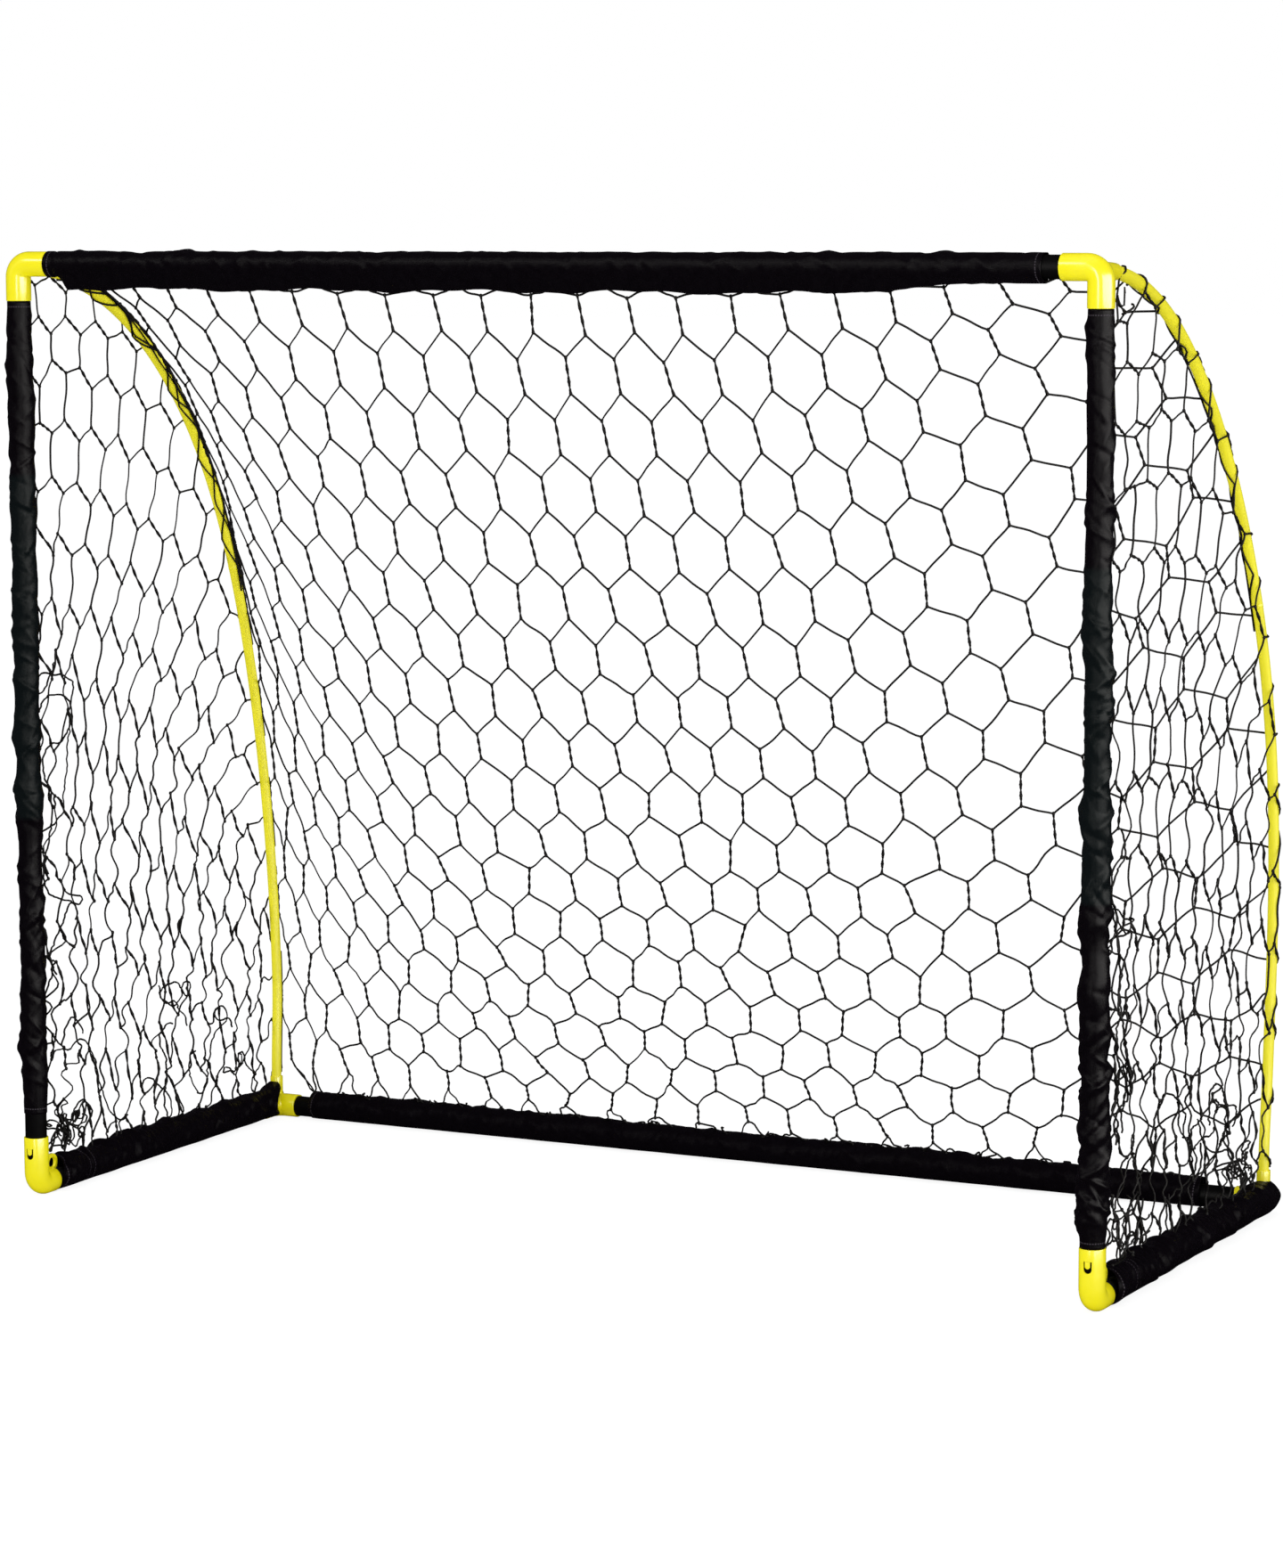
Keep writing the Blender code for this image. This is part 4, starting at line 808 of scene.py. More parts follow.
def finish_pole(piece, name, node):
    """Finish a part of a pole and give it a mesh of its own."""
    crisp(piece)
    finish(piece, name, pole_skin, "front_frame", [node])
    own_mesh(piece)


for side, hand in HANDS:
    reaches = np.linspace(BUTT_START, STUB_LENGTH, BUTT_STEPS)
    heights = [arch_height(reach) for reach in reaches]
    seat = np.column_stack((np.full(BUTT_STEPS, hand * POST_X), POST_Y + reaches, heights))
    heights = arch_heights(arch_height(STUB_LENGTH), POLE_JOINT + JOINT_GAP, 90)[1:]
    joint = arch_points(hand, np.array([POLE_JOINT + JOINT_GAP]))
    upper = np.vstack((seat, arch_points(hand, heights), joint))
    finish_pole(curved_rod(upper, pole_radius(upper[:, 2])), f"pole_upper_{side}", f"upper_pole_{side}")
    heights = arch_heights(POLE_JOINT - JOINT_GAP, SOCKET_TOP, 70)
    lower = np.vstack((arch_points(hand, heights), (hand * POST_X, REAR_Y, POLE_END)))
    shaft = curved_rod(lower, np.full(len(lower), POLE_THICK / 2))
    finish_pole(shaft, f"pole_lower_{side}", f"lower_pole_{side}")
    collar_heights = np.array([POLE_JOINT + COLLAR_HALF, POLE_JOINT - COLLAR_HALF])
    collar = curved_rod(arch_points(hand, collar_heights), np.full(2, COLLAR_RADIUS))
    apply(collar, "BEVEL", width=COLLAR_RIM, **SHARP)
    finish_pole(collar, f"pole_collar_{side}", f"pole_ferrule_{side}")

# %% [markdown]
# The hinge parts and the spigots stay as the CAD has them, out of sight in the sleeves and
# tubes, and only get their real finishes.

# %% Hidden metal and nylon
for name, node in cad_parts.items():
    finish_of = None
    if "spigot" in name or "pin" in name:
        finish_of = bare_steel
    elif "fork" in name or "blade" in name:
        finish_of = nylon
    if finish_of:
        for slot in node.material_slots:
            slot.material = finish_of

# %% [markdown]
# A sleeve is a rectangle of cloth sewn into a tube that is a little too wide and too long for
# the pipe inside it, so it falls into slanting creases. Chance scatters them, from a fixed seed
# for each sleeve, so they are the same at each run. A sleeve starts as an open cylinder that is
# cut into rings. Then every point is moved to the sleeve's section, in or out by the creases.

# %% Creases
SLANTS, RUNS, WIDTHS, TALLNESS = (0.45, 1.25), (0.5, 1.3), (0.6, 1.5), (0.35, 1.0)
FOLDED_IN = -0.7


def crease_field(length, girth, count, seed, tall, wide=0.006, run=0.045):
    """Sharp slanting folds scattered over a sleeve, as a function of place along and round it."""
    dice = np.random.default_rng(seed)
    places = dice.uniform(0, length, count)
    turns = dice.uniform(0, girth, count)
    slants = dice.uniform(*SLANTS, count) * dice.choice([-1, 1], count)
    runs = run * dice.uniform(*RUNS, count)
    widths = wide * dice.uniform(*WIDTHS, count)
    heights = tall * dice.uniform(*TALLNESS, count) * dice.choice([FOLDED_IN, 1.0], count)

    def field(along, around):
        rise = np.zeros_like(along)
        for place, turn, slant, reach, width, height in zip(places, turns, slants, runs, widths, heights):
            near = np.abs(along - place) < 1.6 * reach
            ahead_of = along[near] - place
            beside = (around[near] - turn + girth / 2) % girth - girth / 2
            across = ahead_of * math.sin(slant) - beside * math.cos(slant)
            down = ahead_of * math.cos(slant) + beside * math.sin(slant)
            rise[near] += height * np.exp(-np.abs(across / width) ** 1.5) * np.exp(-(down / reach) ** 4)
        return rise

    return field


# %% Cloth tube
CLOTH_THICKNESS = 0.0006
RING_STEP = 25


def cloth_tube(start, end, up_way, section, rings, around, shift=None):
    """An open tube of cloth; section gives how far beside and above its axis each point lies."""
    start, end, up_way = Vector(start), Vector(end), Vector(up_way)
    axis = (end - start).normalized()
    side_way = up_way.cross(axis).normalized()
    length = (end - start).length
    bpy.ops.object.select_all(action="DESELECT")
    bpy.ops.mesh.primitive_cylinder_add(
        vertices=around, radius=TUBE_RADIUS, depth=length, end_fill_type="NOTHING",
        location=(start + end) / 2, rotation=axis.to_track_quat("Z", "Y").to_euler(),
    )
    piece = bpy.context.active_object
    bpy.ops.object.transform_apply(location=True, rotation=True, scale=True)
    bpy.ops.object.mode_set(mode="EDIT")
    bpy.ops.mesh.select_mode(type="EDGE")
    for cuts in (RING_STEP - 1, max(1, round(rings / RING_STEP)) - 1):
        mesh = bmesh.from_edit_mesh(piece.data)
        for edge in mesh.edges:
            way = edge.verts[1].co - edge.verts[0].co
            edge.select = abs(way.normalized().dot(axis)) > 0.9
        bmesh.update_edit_mesh(piece.data)
        if cuts:
            bpy.ops.mesh.subdivide(number_cuts=cuts)
    bpy.ops.object.mode_set(mode="OBJECT")
    mesh = piece.data
    spots = np.empty(3 * len(mesh.vertices))
    mesh.vertices.foreach_get("co", spots)
    off = spots.reshape(-1, 3) - np.array(start)
    along = off @ np.array(axis)
    angle = np.arctan2(off @ np.array(up_way), off @ np.array(side_way))
    right_of, rise = section(along, angle)
    moved = along if shift is None else along + shift(along, angle)
    spots = np.array(start) + moved[:, None] * np.array(axis)
    spots = spots + right_of[:, None] * np.array(side_way) + rise[:, None] * np.array(up_way)
    mesh.vertices.foreach_set("co", spots.ravel())
    cloth_uv(mesh, along, angle, np.hypot(right_of, rise).mean())
    hem = mesh.attributes.new("hem", "FLOAT", "POINT")
    hem.data.foreach_set("value", np.minimum(along, length - along).astype(np.float32))
    pick(piece)
    bpy.ops.object.shade_smooth()
    apply(piece, "SOLIDIFY", thickness=CLOTH_THICKNESS, offset=-1.0)
    return piece


def cloth_uv(mesh, along, angle, radius):
    """A UV map in metres, along the sleeve and round it."""
    while mesh.uv_layers:
        mesh.uv_layers.remove(mesh.uv_layers[0])
    corners = np.empty(len(mesh.loops), int)
    mesh.loops.foreach_get("vertex_index", corners)
    turn = angle[corners].reshape(-1, 4)
    wrapped = np.where((turn.max(1) - turn.min(1) > np.pi)[:, None] & (turn < 0), turn + 2 * np.pi, turn)
    layer = mesh.uv_layers.new(name="cloth")
    spots = np.column_stack((along[corners], wrapped.ravel() * radius))
    layer.data.foreach_set("uv", spots.ravel().astype(np.float32))


# %% [markdown]
# The crossbar's sleeve hangs below the tube like a narrow flag: its two edges are sewn together
# under the bar, where the net is caught in the seam. At the left end an elastic hem pulls it
# tight against the corner, and towards the right the hanging edge runs out to nothing.

# %% Crossbar sleeve
BAR_CLOTH = TUBE_RADIUS + 0.0031
BAR_HANG = 0.0185
HANG_START, HANG_FULL = 0.017, 0.036
RUN_OUT, RUN_OUT_START, RUN_OUT_END = 0.85, 0.36, 0.08
ELASTIC_PLACE, ELASTIC_WIDE, ELASTIC_DEEP = 0.0155, 0.0026, 0.0019
bar_start = Vector(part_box("crossbar_sleeve")[0])
bar_end = Vector(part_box("crossbar_sleeve")[1])
bar_length = bar_end.x - bar_start.x


def smooth_step(value, low, high):
    """0 below low, 1 above high and smooth between."""
    share = np.clip((np.asarray(value, float) - low) / (high - low), 0, 1)
    return share * share * (3 - 2 * share)


def bar_hang(along):
    """How far the sewn edge hangs below the bar's round part."""
    slack = 0.0022 * np.sin(along * 23) + 0.0013 * np.sin(along * 61 + 1)
    start = smooth_step(along, HANG_START, HANG_FULL)
    run_out = 1 - RUN_OUT * smooth_step(along, bar_length - RUN_OUT_START, bar_length - RUN_OUT_END)
    return (BAR_HANG + slack) * start * run_out


bar_folds = crease_field(bar_length, 2 * math.pi * BAR_CLOTH, count=210, seed=11, tall=0.0024)


def bar_section(along, angle):
    """A circle with a drawn-down tip, plus creases."""
    collar = ELASTIC_DEEP * np.exp(-(((along - ELASTIC_PLACE) / ELASTIC_WIDE) ** 2))
    radius = BAR_CLOTH - collar
    tip = radius + np.maximum(bar_hang(along), 0.0002)
    corner_angle = np.arccos(radius / tip)
    from_bottom = np.abs((angle + np.pi / 2 + np.pi) % (2 * np.pi) - np.pi)
    drawn = np.where(from_bottom < corner_angle, radius / np.cos(corner_angle - from_bottom), radius)
    calm = smooth_step(along, 0.020, 0.09) * (1 - 0.7 * np.exp(-((from_bottom / 0.35) ** 2)))
    ease = 0.35 + 0.65 * (0.5 + 0.5 * np.sin(along * 5.1 + 0.6))
    drawn = drawn + calm * (0.25 + 0.75 * ease) * bar_folds(along, (angle + np.pi) * BAR_CLOTH)
    return drawn * np.cos(angle), drawn * np.sin(angle)


bar_cloth = cloth_tube(
    (bar_start.x, POST_Y, BAR_Z), (bar_end.x, POST_Y, BAR_Z), (0, 0, 1), bar_section, rings=600, around=56,
)
finish(bar_cloth, "sleeve_crossbar", sleeve_cloth, "front_frame", ["crossbar_sleeve"])

# %% [markdown]
# The post sleeves are plain tubes of the same cloth. They hang a little long, so their outline
# waves and the creases cross in diamonds.

# %% Post sleeves
POST_EASE, POST_CLEAR, POST_SWELL = 0.0013, 0.0009, 0.0016
POST_BAG = {"left": (0.55, 0.85), "right": (0.60, 1.45)}
POST_CLOTH = {"left": left_post_cloth, "right": right_post_cloth}
for side, hand in HANDS:
    low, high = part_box(f"post_sleeve_{side}")
    length = high[2] - low[2]
    girth = 2 * math.pi * BAR_CLOTH
    folds = crease_field(length, girth, count=250, seed=21 + hand, tall=0.0034, wide=0.0044, run=0.045)
    swell = crease_field(length, girth, count=70, seed=31 + hand, tall=0.0034, wide=0.018, run=0.055)

    def post_section(along, angle, folds=folds, swell=swell, length=length, bag=POST_BAG[side]):
        """A circle with creases that die out at both hems; the cloth is baggier towards its foot."""
        calm = smooth_step(along, 0.004, 0.040) * smooth_step(length - along, 0.004, 0.030)
        loose = bag[0] + (bag[1] - bag[0]) * (1 - along / length)
        place_round = (angle + np.pi) * BAR_CLOTH
        creases = folds(along, place_round) + swell(along, place_round)
        radius = TUBE_RADIUS + POST_EASE + calm * (POST_SWELL * loose + loose * creases)
        radius = np.maximum(radius, TUBE_RADIUS + POST_CLEAR)
        return radius * np.cos(angle), radius * np.sin(angle)

    x = hand * POST_X
    cloth = cloth_tube(
        (x, POST_Y, low[2]), (x, POST_Y, high[2]), (0, 1, 0), post_section, rings=450, around=56,
    )
    finish(
        cloth, f"sleeve_post_{side}", POST_CLOTH[side], "front_frame",
        [f"post_sleeve_{side}"],
    )

# %% [markdown]
# On the ground the sleeves are longer than the tubes, and the extra cloth is pushed together
# into close gathers, which makes them lumpy and taller than the tube. The front end of each
# side sleeve is loose and covers the fold hinge.

# %% Gathered base sleeves
GATHER_PITCH = 0.0165
CORNER_COVER, CORNER_BARE = 0.007, 0.055
EYELET_NOTCH, NOTCH_RUN = 0.0150, 0.020


def base_section(height, width, length, folds, gather, phase, calm_start, calm_end):
    """A flattened tube that rests on the ground, with gathers across it."""

    def section(along, angle):
        calm = smooth_step(along, 0, calm_start) * smooth_step(length - along, 0, calm_end)
        wander = 0.7 * np.sin(along * 37 + phase) + 0.8 * np.sin(angle * 2 + along * 19 + phase)
        ridge = np.abs(np.sin(np.pi * along / GATHER_PITCH + wander)) ** 0.7 - 0.55
        long_wave = 0.5 + 0.5 * np.sin(along * 21 + phase + np.cos(angle))
        off_ground = smooth_step(np.sin(angle), -0.85, -0.2)
        lumps = folds(along, (angle + np.pi) * width / 2)
        swell = calm * off_ground * (gather * ridge * (0.4 + 0.6 * long_wave) + lumps)
        waves = 0.0014 * np.sin(along * 71 + phase * 3), 0.0014 * np.sin(along * 43 + phase)
        bulge = calm * (0.0022 + waves[0] + waves[1])
        rise = np.maximum((height / 2 + swell) * np.sin(angle), -height / 2)
        return (width / 2 + swell + bulge) * np.cos(angle), rise

    return section


SIDE_TALL, SIDE_WIDE = 0.0535, 0.0500
REAR_TALL, REAR_WIDE = 0.0480, 0.0475
GROUND_CLEAR = 0.0005
side_girth = math.pi * SIDE_WIDE
z = GROUND_CLEAR + SIDE_TALL / 2
for side, hand in HANDS:
    x = hand * POST_X
    start_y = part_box(f"side_sleeve_{side}")[0][1]
    end_y = REAR_Y + FITTING_RADIUS + CORNER_COVER
    length = end_y - start_y
    folds = crease_field(length, side_girth, count=120, seed=41 + hand, tall=0.0052, wide=0.008, run=0.032)
    shape = base_section(
        SIDE_TALL, SIDE_WIDE, length, folds,
        gather=0.0014, phase=1.3 * hand, calm_start=0.006, calm_end=0.02,
    )

    def closed_section(along, angle, shape=shape, length=length):
        """The same, drawn together behind the rear corner."""
        right_of, rise = shape(along, angle)
        draw = np.sqrt(np.clip(1 - smooth_step(along, length - 0.030, length + 0.0005) ** 2, 0.0004, 1))
        return right_of * draw, rise * draw

    def ends_early(along, angle, hand=hand, length=length):
        """Towards the net the cloth ends in front of the rear corner, where the rear bar leaves it."""
        towards_net = np.clip(hand * np.cos(angle), 0, 1) ** 1.5
        return -CORNER_BARE * towards_net * smooth_step(along, length - 0.12, length)

    cloth = cloth_tube(
        (x, start_y, z), (x, end_y, z), (0, 0, 1), closed_section, rings=300, around=64, shift=ends_early,
    )
    finish(cloth, f"sleeve_side_{side}", base_cloth, "base_frame", [f"side_sleeve_{side}"])
    cuff_start, cuff_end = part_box(f"hinge_cuff_{side}")[0][1], start_y + 0.001
    length = cuff_end - cuff_start
    folds = crease_field(length, side_girth, count=26, seed=51 + hand, tall=0.0045, wide=0.007, run=0.03)
    shape = base_section(
        SIDE_TALL, SIDE_WIDE, length, folds,
        gather=0.0014, phase=0.4 * hand, calm_start=0.012, calm_end=0.004,
    )

    def past_eyelet(along, angle):
        """The top of the loose end starts behind the eyelet."""
        return EYELET_NOTCH * np.clip(np.sin(angle), 0, 1) ** 2 * np.exp(-along / NOTCH_RUN)

    cuff = cloth_tube(
        (x, cuff_start, z), (x, cuff_end, z), (0, 0, 1), shape, rings=75, around=64, shift=past_eyelet,
    )
    finish(cuff, f"cuff_{side}", base_cloth, None, [f"hinge_cuff_{side}"])
    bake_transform(cuff)

low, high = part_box("rear_sleeve")
z = GROUND_CLEAR + REAR_TALL / 2
length = high[0] - low[0]
folds = crease_field(length, math.pi * REAR_WIDE, count=230, seed=61, tall=0.0036, wide=0.007, run=0.035)
shape = base_section(
    REAR_TALL, REAR_WIDE, length, folds, gather=0.0011, phase=0.2, calm_start=0.01, calm_end=0.01,
)
rear_cloth = cloth_tube(
    (low[0], REAR_Y, z), (high[0], REAR_Y, z), (0, 0, 1), shape, rings=575, around=56,
)
finish(rear_cloth, "sleeve_rear", base_cloth, "base_frame", ["rear_sleeve"])
print("sleeves made")

# %% [markdown]
# The net is one bag of honeycomb mesh. Each cell has two short double legs, where two twines are
# twisted together, and four single legs. At the back it hangs from the crossbar's seam to the
# rear sleeve like a hammock on its side, and its edges are drawn back to the poles. At the sides
# it is turned by a third, so that single legs stand upright. Low down the rear net hangs a little
# to the left, as nobody pulled it straight. First come the surfaces it lies on.

# %% Surfaces of the net
SINGLE_RADIUS = 0.00166
DOUBLE_RADIUS = 0.00150
HEM_Z = BAR_Z - BAR_CLOTH


def line_share(points, share):
    """Points at shares of the length of a line."""
    steps = np.linalg.norm(np.diff(points, axis=0), axis=1)
    places = np.concatenate(([0], np.cumsum(steps))) / steps.sum()
    return np.column_stack([np.interp(share, places, points[:, way]) for way in range(3)])


def pole_ways(hand, heights):
    """The pole's axis at some heights, and its outward and backward ways there."""
    axis = arch_points(hand, heights)
    step = 0.002
    change = arch_points(hand, np.minimum(heights + step, ARCH_TOP)) - arch_points(hand, heights - step)
    back = np.column_stack((np.zeros(len(heights)), change[:, 2], -change[:, 1]))
    back /= np.linalg.norm(back, axis=1)[:, None]
    return axis, np.array((hand, 0.0, 0.0)), back


NET_FOOT = 0.0755
RIM_START, RIM_CLEAR, RIM_INWARD = 0.060, 0.0016, 0.5
RIM_HEIGHTS = arch_heights(arch_height(RIM_START), NET_FOOT, 220)
RIMS = {}
for side, hand in HANDS:
    axis, outward, back = pole_ways(hand, RIM_HEIGHTS)
    stand_off = (pole_radius(RIM_HEIGHTS) + RIM_CLEAR)[:, None]
    RIMS[hand] = axis + stand_off * (back - RIM_INWARD * outward) / math.hypot(1, RIM_INWARD)
HEAD = np.array((0, POST_Y, HEM_Z - 0.014))
FOOT = np.array((0, REAR_Y - 0.010, 0.050))
SAG_POINT = np.array((0, POST_Y + 0.392, 0.490))
BLEND_POWER = 3.2
shares = np.linspace(0, 1, 120)[:, None]
SAG_LINE = (1 - shares) ** 2 * HEAD + 2 * shares * (1 - shares) * SAG_POINT + shares**2 * FOOT


def rear_surface(u, v):
    """Points of the rear net, u from -1 to 1 across and v from 0 at the top to 1 at the foot."""
    sag = line_share(SAG_LINE, v)
    rim = np.where((u < 0)[:, None], line_share(RIMS[-1], v), line_share(RIMS[1], v))
    weight = (np.abs(u) ** BLEND_POWER)[:, None]
    spots = sag * (1 - weight) + rim * weight
    spots[:, 0] = np.abs(u) * rim[:, 0]
    return spots


def hem_point(x):
    """Where the net is caught in the crossbar's seam, or at the corner beside it."""
    along = np.clip(x - bar_start.x, 0.002, bar_length)
    hang = max(float(bar_hang(along)), 0.0004)
    return np.array((np.clip(x, bar_start.x + 0.002, bar_end.x), POST_Y, HEM_Z - hang + 0.0015))


# %% [markdown]
# A strand is a line of a few points between two knots. It bows a little, as twine that is not
# pulled tight does, and more towards the ground, where the bag is slack. All that chance decides
# comes from one seeded generator, so each run gives the same net.

# %% Strands and knots
dice = np.random.default_rng(2024)
net = {
    (part, kind): [] for part in ("rear", "side_left", "side_right") for kind in ("single", "double", "knots")
}


def strand(start, end, slack, steps):
    """A slightly bowed line between two points."""
    start, end = np.asarray(start, float), np.asarray(end, float)
    length = np.linalg.norm(end - start)
    shares_along = np.linspace(0, 1, steps + 1)[:, None]
    points = start + (end - start) * shares_along
    for wave, part in ((1, 1.0), (2, 0.6), (3, 0.35)):
        way = dice.normal(size=3)
        way -= (end - start) * (way @ (end - start)) / max(length**2, 1e-9)
        points += part * slack * length * np.sin(wave * np.pi * shares_along) * way / 2
    return points


# %% [markdown]
# The knots of the rear net lie in rows of pairs, the two ends of a double leg. The rows come
# closer together towards the foot, where the slack bag folds up on itself.

# %% Knots of the rear net
COLUMNS, ROWS = 22, 18
FIRST_DROP, LAST_DROP, LAST_ROW = 0.12, 0.30, 0.74
LEG_PART = 0.57
LEAN, LEAN_POWER = 0.125, 2.6
EDGE = 0.999
SHAKE, SHAKE_MORE, SHAKE_WAYS = 0.0020, 0.0030, (1, 0.7, 0.8)
pitches = np.linspace(1.0, LAST_ROW, ROWS)
tops = FIRST_DROP + np.concatenate(([0], np.cumsum(pitches)[:-1]))
bottoms = tops + LEG_PART * pitches
whole = bottoms[-1] + LAST_DROP * pitches[-1]
tops, bottoms = tops / whole, bottoms / whole


def shake(places, v):
    """Chance moves of knots, larger where the bag is slack."""
    size = SHAKE + SHAKE_MORE * v**2
    return places + dice.normal(size=places.shape) * size[:, None] * np.array(SHAKE_WAYS)


rear_knots = {}
for row in range(ROWS):
    halves = np.arange(row % 2, 2 * COLUMNS + 1, 2)
    u = halves / COLUMNS - 1
    for level, heights in (("top", tops), ("bottom", bottoms)):
        v = np.full(len(u), heights[row])
        places = rear_surface(u - LEAN * v**LEAN_POWER * (1 - u**4), v)
        moved = shake(places, v)
        edge = np.abs(u) > EDGE
        moved[edge] = places[edge]
        for half, place in zip(halves, moved):
            rear_knots[row, half, level] = place
print("rear net:", len(rear_knots), "knots")

# %% [markdown]
# Each pair of knots gets its double leg, and each lower knot two single legs to the next row. The
# first row is caught in the crossbar's seam, and the last one in the top of the rear sleeve.

# %% Legs of the rear net
SINGLE_STEPS, DOUBLE_STEPS = 6, 9
REAR_SLACK, REAR_SLACK_MORE = 0.02, 0.07
HEM_SPREAD, HEM_PART, HEM_SLACK = 0.7, 0.985, 0.05
FOOT_SPREAD, FOOT_SLACK = 0.022, 0.12
FOOT_PLACE = (REAR_Y - 0.006, GROUND_CLEAR + REAR_TALL - 0.0015)
sleeve_low, sleeve_high = (corner[0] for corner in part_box("rear_sleeve"))
singles = net["rear", "single"]
for (row, half, level), place in rear_knots.items():
    net["rear", "knots"].append(place)
    slack = REAR_SLACK + REAR_SLACK_MORE * (row / ROWS) ** 3
    if level == "top":
        net["rear", "double"].append(strand(place, rear_knots[row, half, "bottom"], slack / 2, DOUBLE_STEPS))
        if row == 0:
            for way in (-HEM_SPREAD, HEM_SPREAD):
                x = (half + way) / COLUMNS - 1
                singles.append(strand(hem_point(x * POST_X * HEM_PART), place, HEM_SLACK, SINGLE_STEPS))
    else:
        for way in (-1, 1):
            below = rear_knots.get((row + 1, half + way, "top"))
            if below is not None:
                singles.append(strand(place, below, slack, SINGLE_STEPS))
            elif row == ROWS - 1:
                x = np.clip(place[0] + way * FOOT_SPREAD, sleeve_low + 0.004, sleeve_high - 0.004)
                singles.append(strand(place, (x, *FOOT_PLACE), FOOT_SLACK, SINGLE_STEPS))
print("rear net:", len(singles), "single legs")

# %% [markdown]
# The side nets hang behind the posts. Their cells are wide under the crossbar, and lower down,
# where the bag's own weight pulls them long, they are narrow and tall. The rows are arched: they
# leave the post level or rising and fall towards the pole. Where a leg reaches the pole it bends
# round its outer side to its back, and runs along the back to the rear net's nearest edge knot.
# So every point is first placed flat, as a distance behind the post and a height, and then put
# on the net's surface, which ends in that bend.

# %% Surface of the side nets
POST_BACK = TUBE_RADIUS + 0.0031
EYELET_TOP, EYELET_END = EYELET_Z + EYELET_RADIUS + 0.004, 0.075
WRAP = math.radians(117)
BOW_POWER, BULGE_RUN = 1.3, 0.03
PROFILE_HEIGHTS = arch_heights(ARCH_TOP - 0.0005, NET_FOOT, 500)
PROFILE = np.column_stack((arch_reach(PROFILE_HEIGHTS), PROFILE_HEIGHTS))
PROFILE_BACK = pole_ways(1, PROFILE_HEIGHTS)[2][:, 1:]
PROFILE_WRAP = pole_radius(PROFILE_HEIGHTS) + SINGLE_RADIUS


def beyond_pole(y, z):
    """How far a flat point is beyond the pole's axis, and its nearest place on the pole."""
    away = np.array((y, z)) - PROFILE
    nearest = int(np.argmin((away**2).sum(1)))
    return float(away[nearest] @ PROFILE_BACK[nearest]), nearest


def side_spot(hand, y, z, bulge=0.0):
    """The place on a side net's surface of a flat point; bulge stands off the surface."""
    beyond, nearest = beyond_pole(y, z)
    height = PROFILE_HEIGHTS[nearest]
    radius = PROFILE_WRAP[nearest]
    if beyond < 0:
        reach = max(float(arch_reach(min(z, ARCH_TOP - 0.001))), 0.02)
        share_back = min(max(y / reach, 0.0), 1.0)
        outer = POST_X + (float(arch_bow(z)) + radius) * share_back**BOW_POWER
        return np.array((hand * (outer + bulge * min(-beyond / BULGE_RUN, 1.0)), POST_Y + y, z))
    angle = min(beyond / radius, WRAP)
    back_y, back_z = PROFILE_BACK[nearest] * radius * math.sin(angle)
    x = hand * (POST_X + float(arch_bow(height)) + radius * math.cos(angle))
    return np.array((x, POST_Y + PROFILE[nearest, 0] + back_y, height + back_z))


def inside(y, z):
    """True between the post's sleeve, the side sleeve, the eyelet and the back of the pole."""
    beyond, nearest = beyond_pole(y, z)
    over_base = z > GROUND_CLEAR + SIDE_TALL - 0.002 and (y > EYELET_END or z > EYELET_TOP)
    return y > POST_BACK and over_base and beyond < WRAP * PROFILE_WRAP[nearest]


def cut_back(inner, outer):
    """The last flat point of a leg that is still inside the outline."""
    inner, outer = np.array(inner), np.array(outer)
    for _ in range(14):
        halfway = (inner + outer) / 2
        if inside(*halfway):
            inner = halfway
        else:
            outer = halfway
    return inner


def side_line(hand, start, end, slack, steps):
    """A slightly bowed leg between two flat points, laid on the side net's surface."""
    flat = strand((0, *start), (0, *end), slack, steps)
    return np.array([side_spot(hand, y, z, bulge) for bulge, y, z in flat])


def along_back(hand, end, knot):
    """A strand along the back of the pole, from a leg's flat end to an edge knot."""
    height = PROFILE_HEIGHTS[beyond_pole(*end)[1]]
    axis, outward, back = pole_ways(hand, np.linspace(height, knot[2], 6))
    ring = math.cos(WRAP) * outward + math.sin(WRAP) * back
    return np.vstack((axis + (pole_radius(axis[:, 2]) + SINGLE_RADIUS)[:, None] * ring, knot))


# %% Knots of the side nets
SIDE_ROWS, SIDE_COLUMNS = 34, 42
HEIGHTS = (0.10, 0.40, 0.85, 1.15, 1.42)
CELL_DEEP = {"left": (0.044, 0.048, 0.054, 0.075, 0.088), "right": (0.056, 0.060, 0.066, 0.086, 0.096)}
ZIGZAG = {"left": (0.026, 0.026, 0.024, 0.016, 0.012), "right": (0.022, 0.021, 0.017, 0.011, 0.009)}
ROW_TALL = (0.098, 0.104, 0.108, 0.094, 0.072)
FALL = {"left": (0.24, 0.26, 0.24, 0.10, -0.08), "right": (0.12, 0.08, -0.08, -0.26, -0.40)}
FALL_MORE = {"left": (0.25, 0.35, 0.45, 0.45, 0.45), "right": (0.25, 0.35, 0.52, 0.66, 0.75)}
SHIFT, SHIFT_LOW, SHIFT_NEAR_POST = 0.0025, 0.008, 0.004


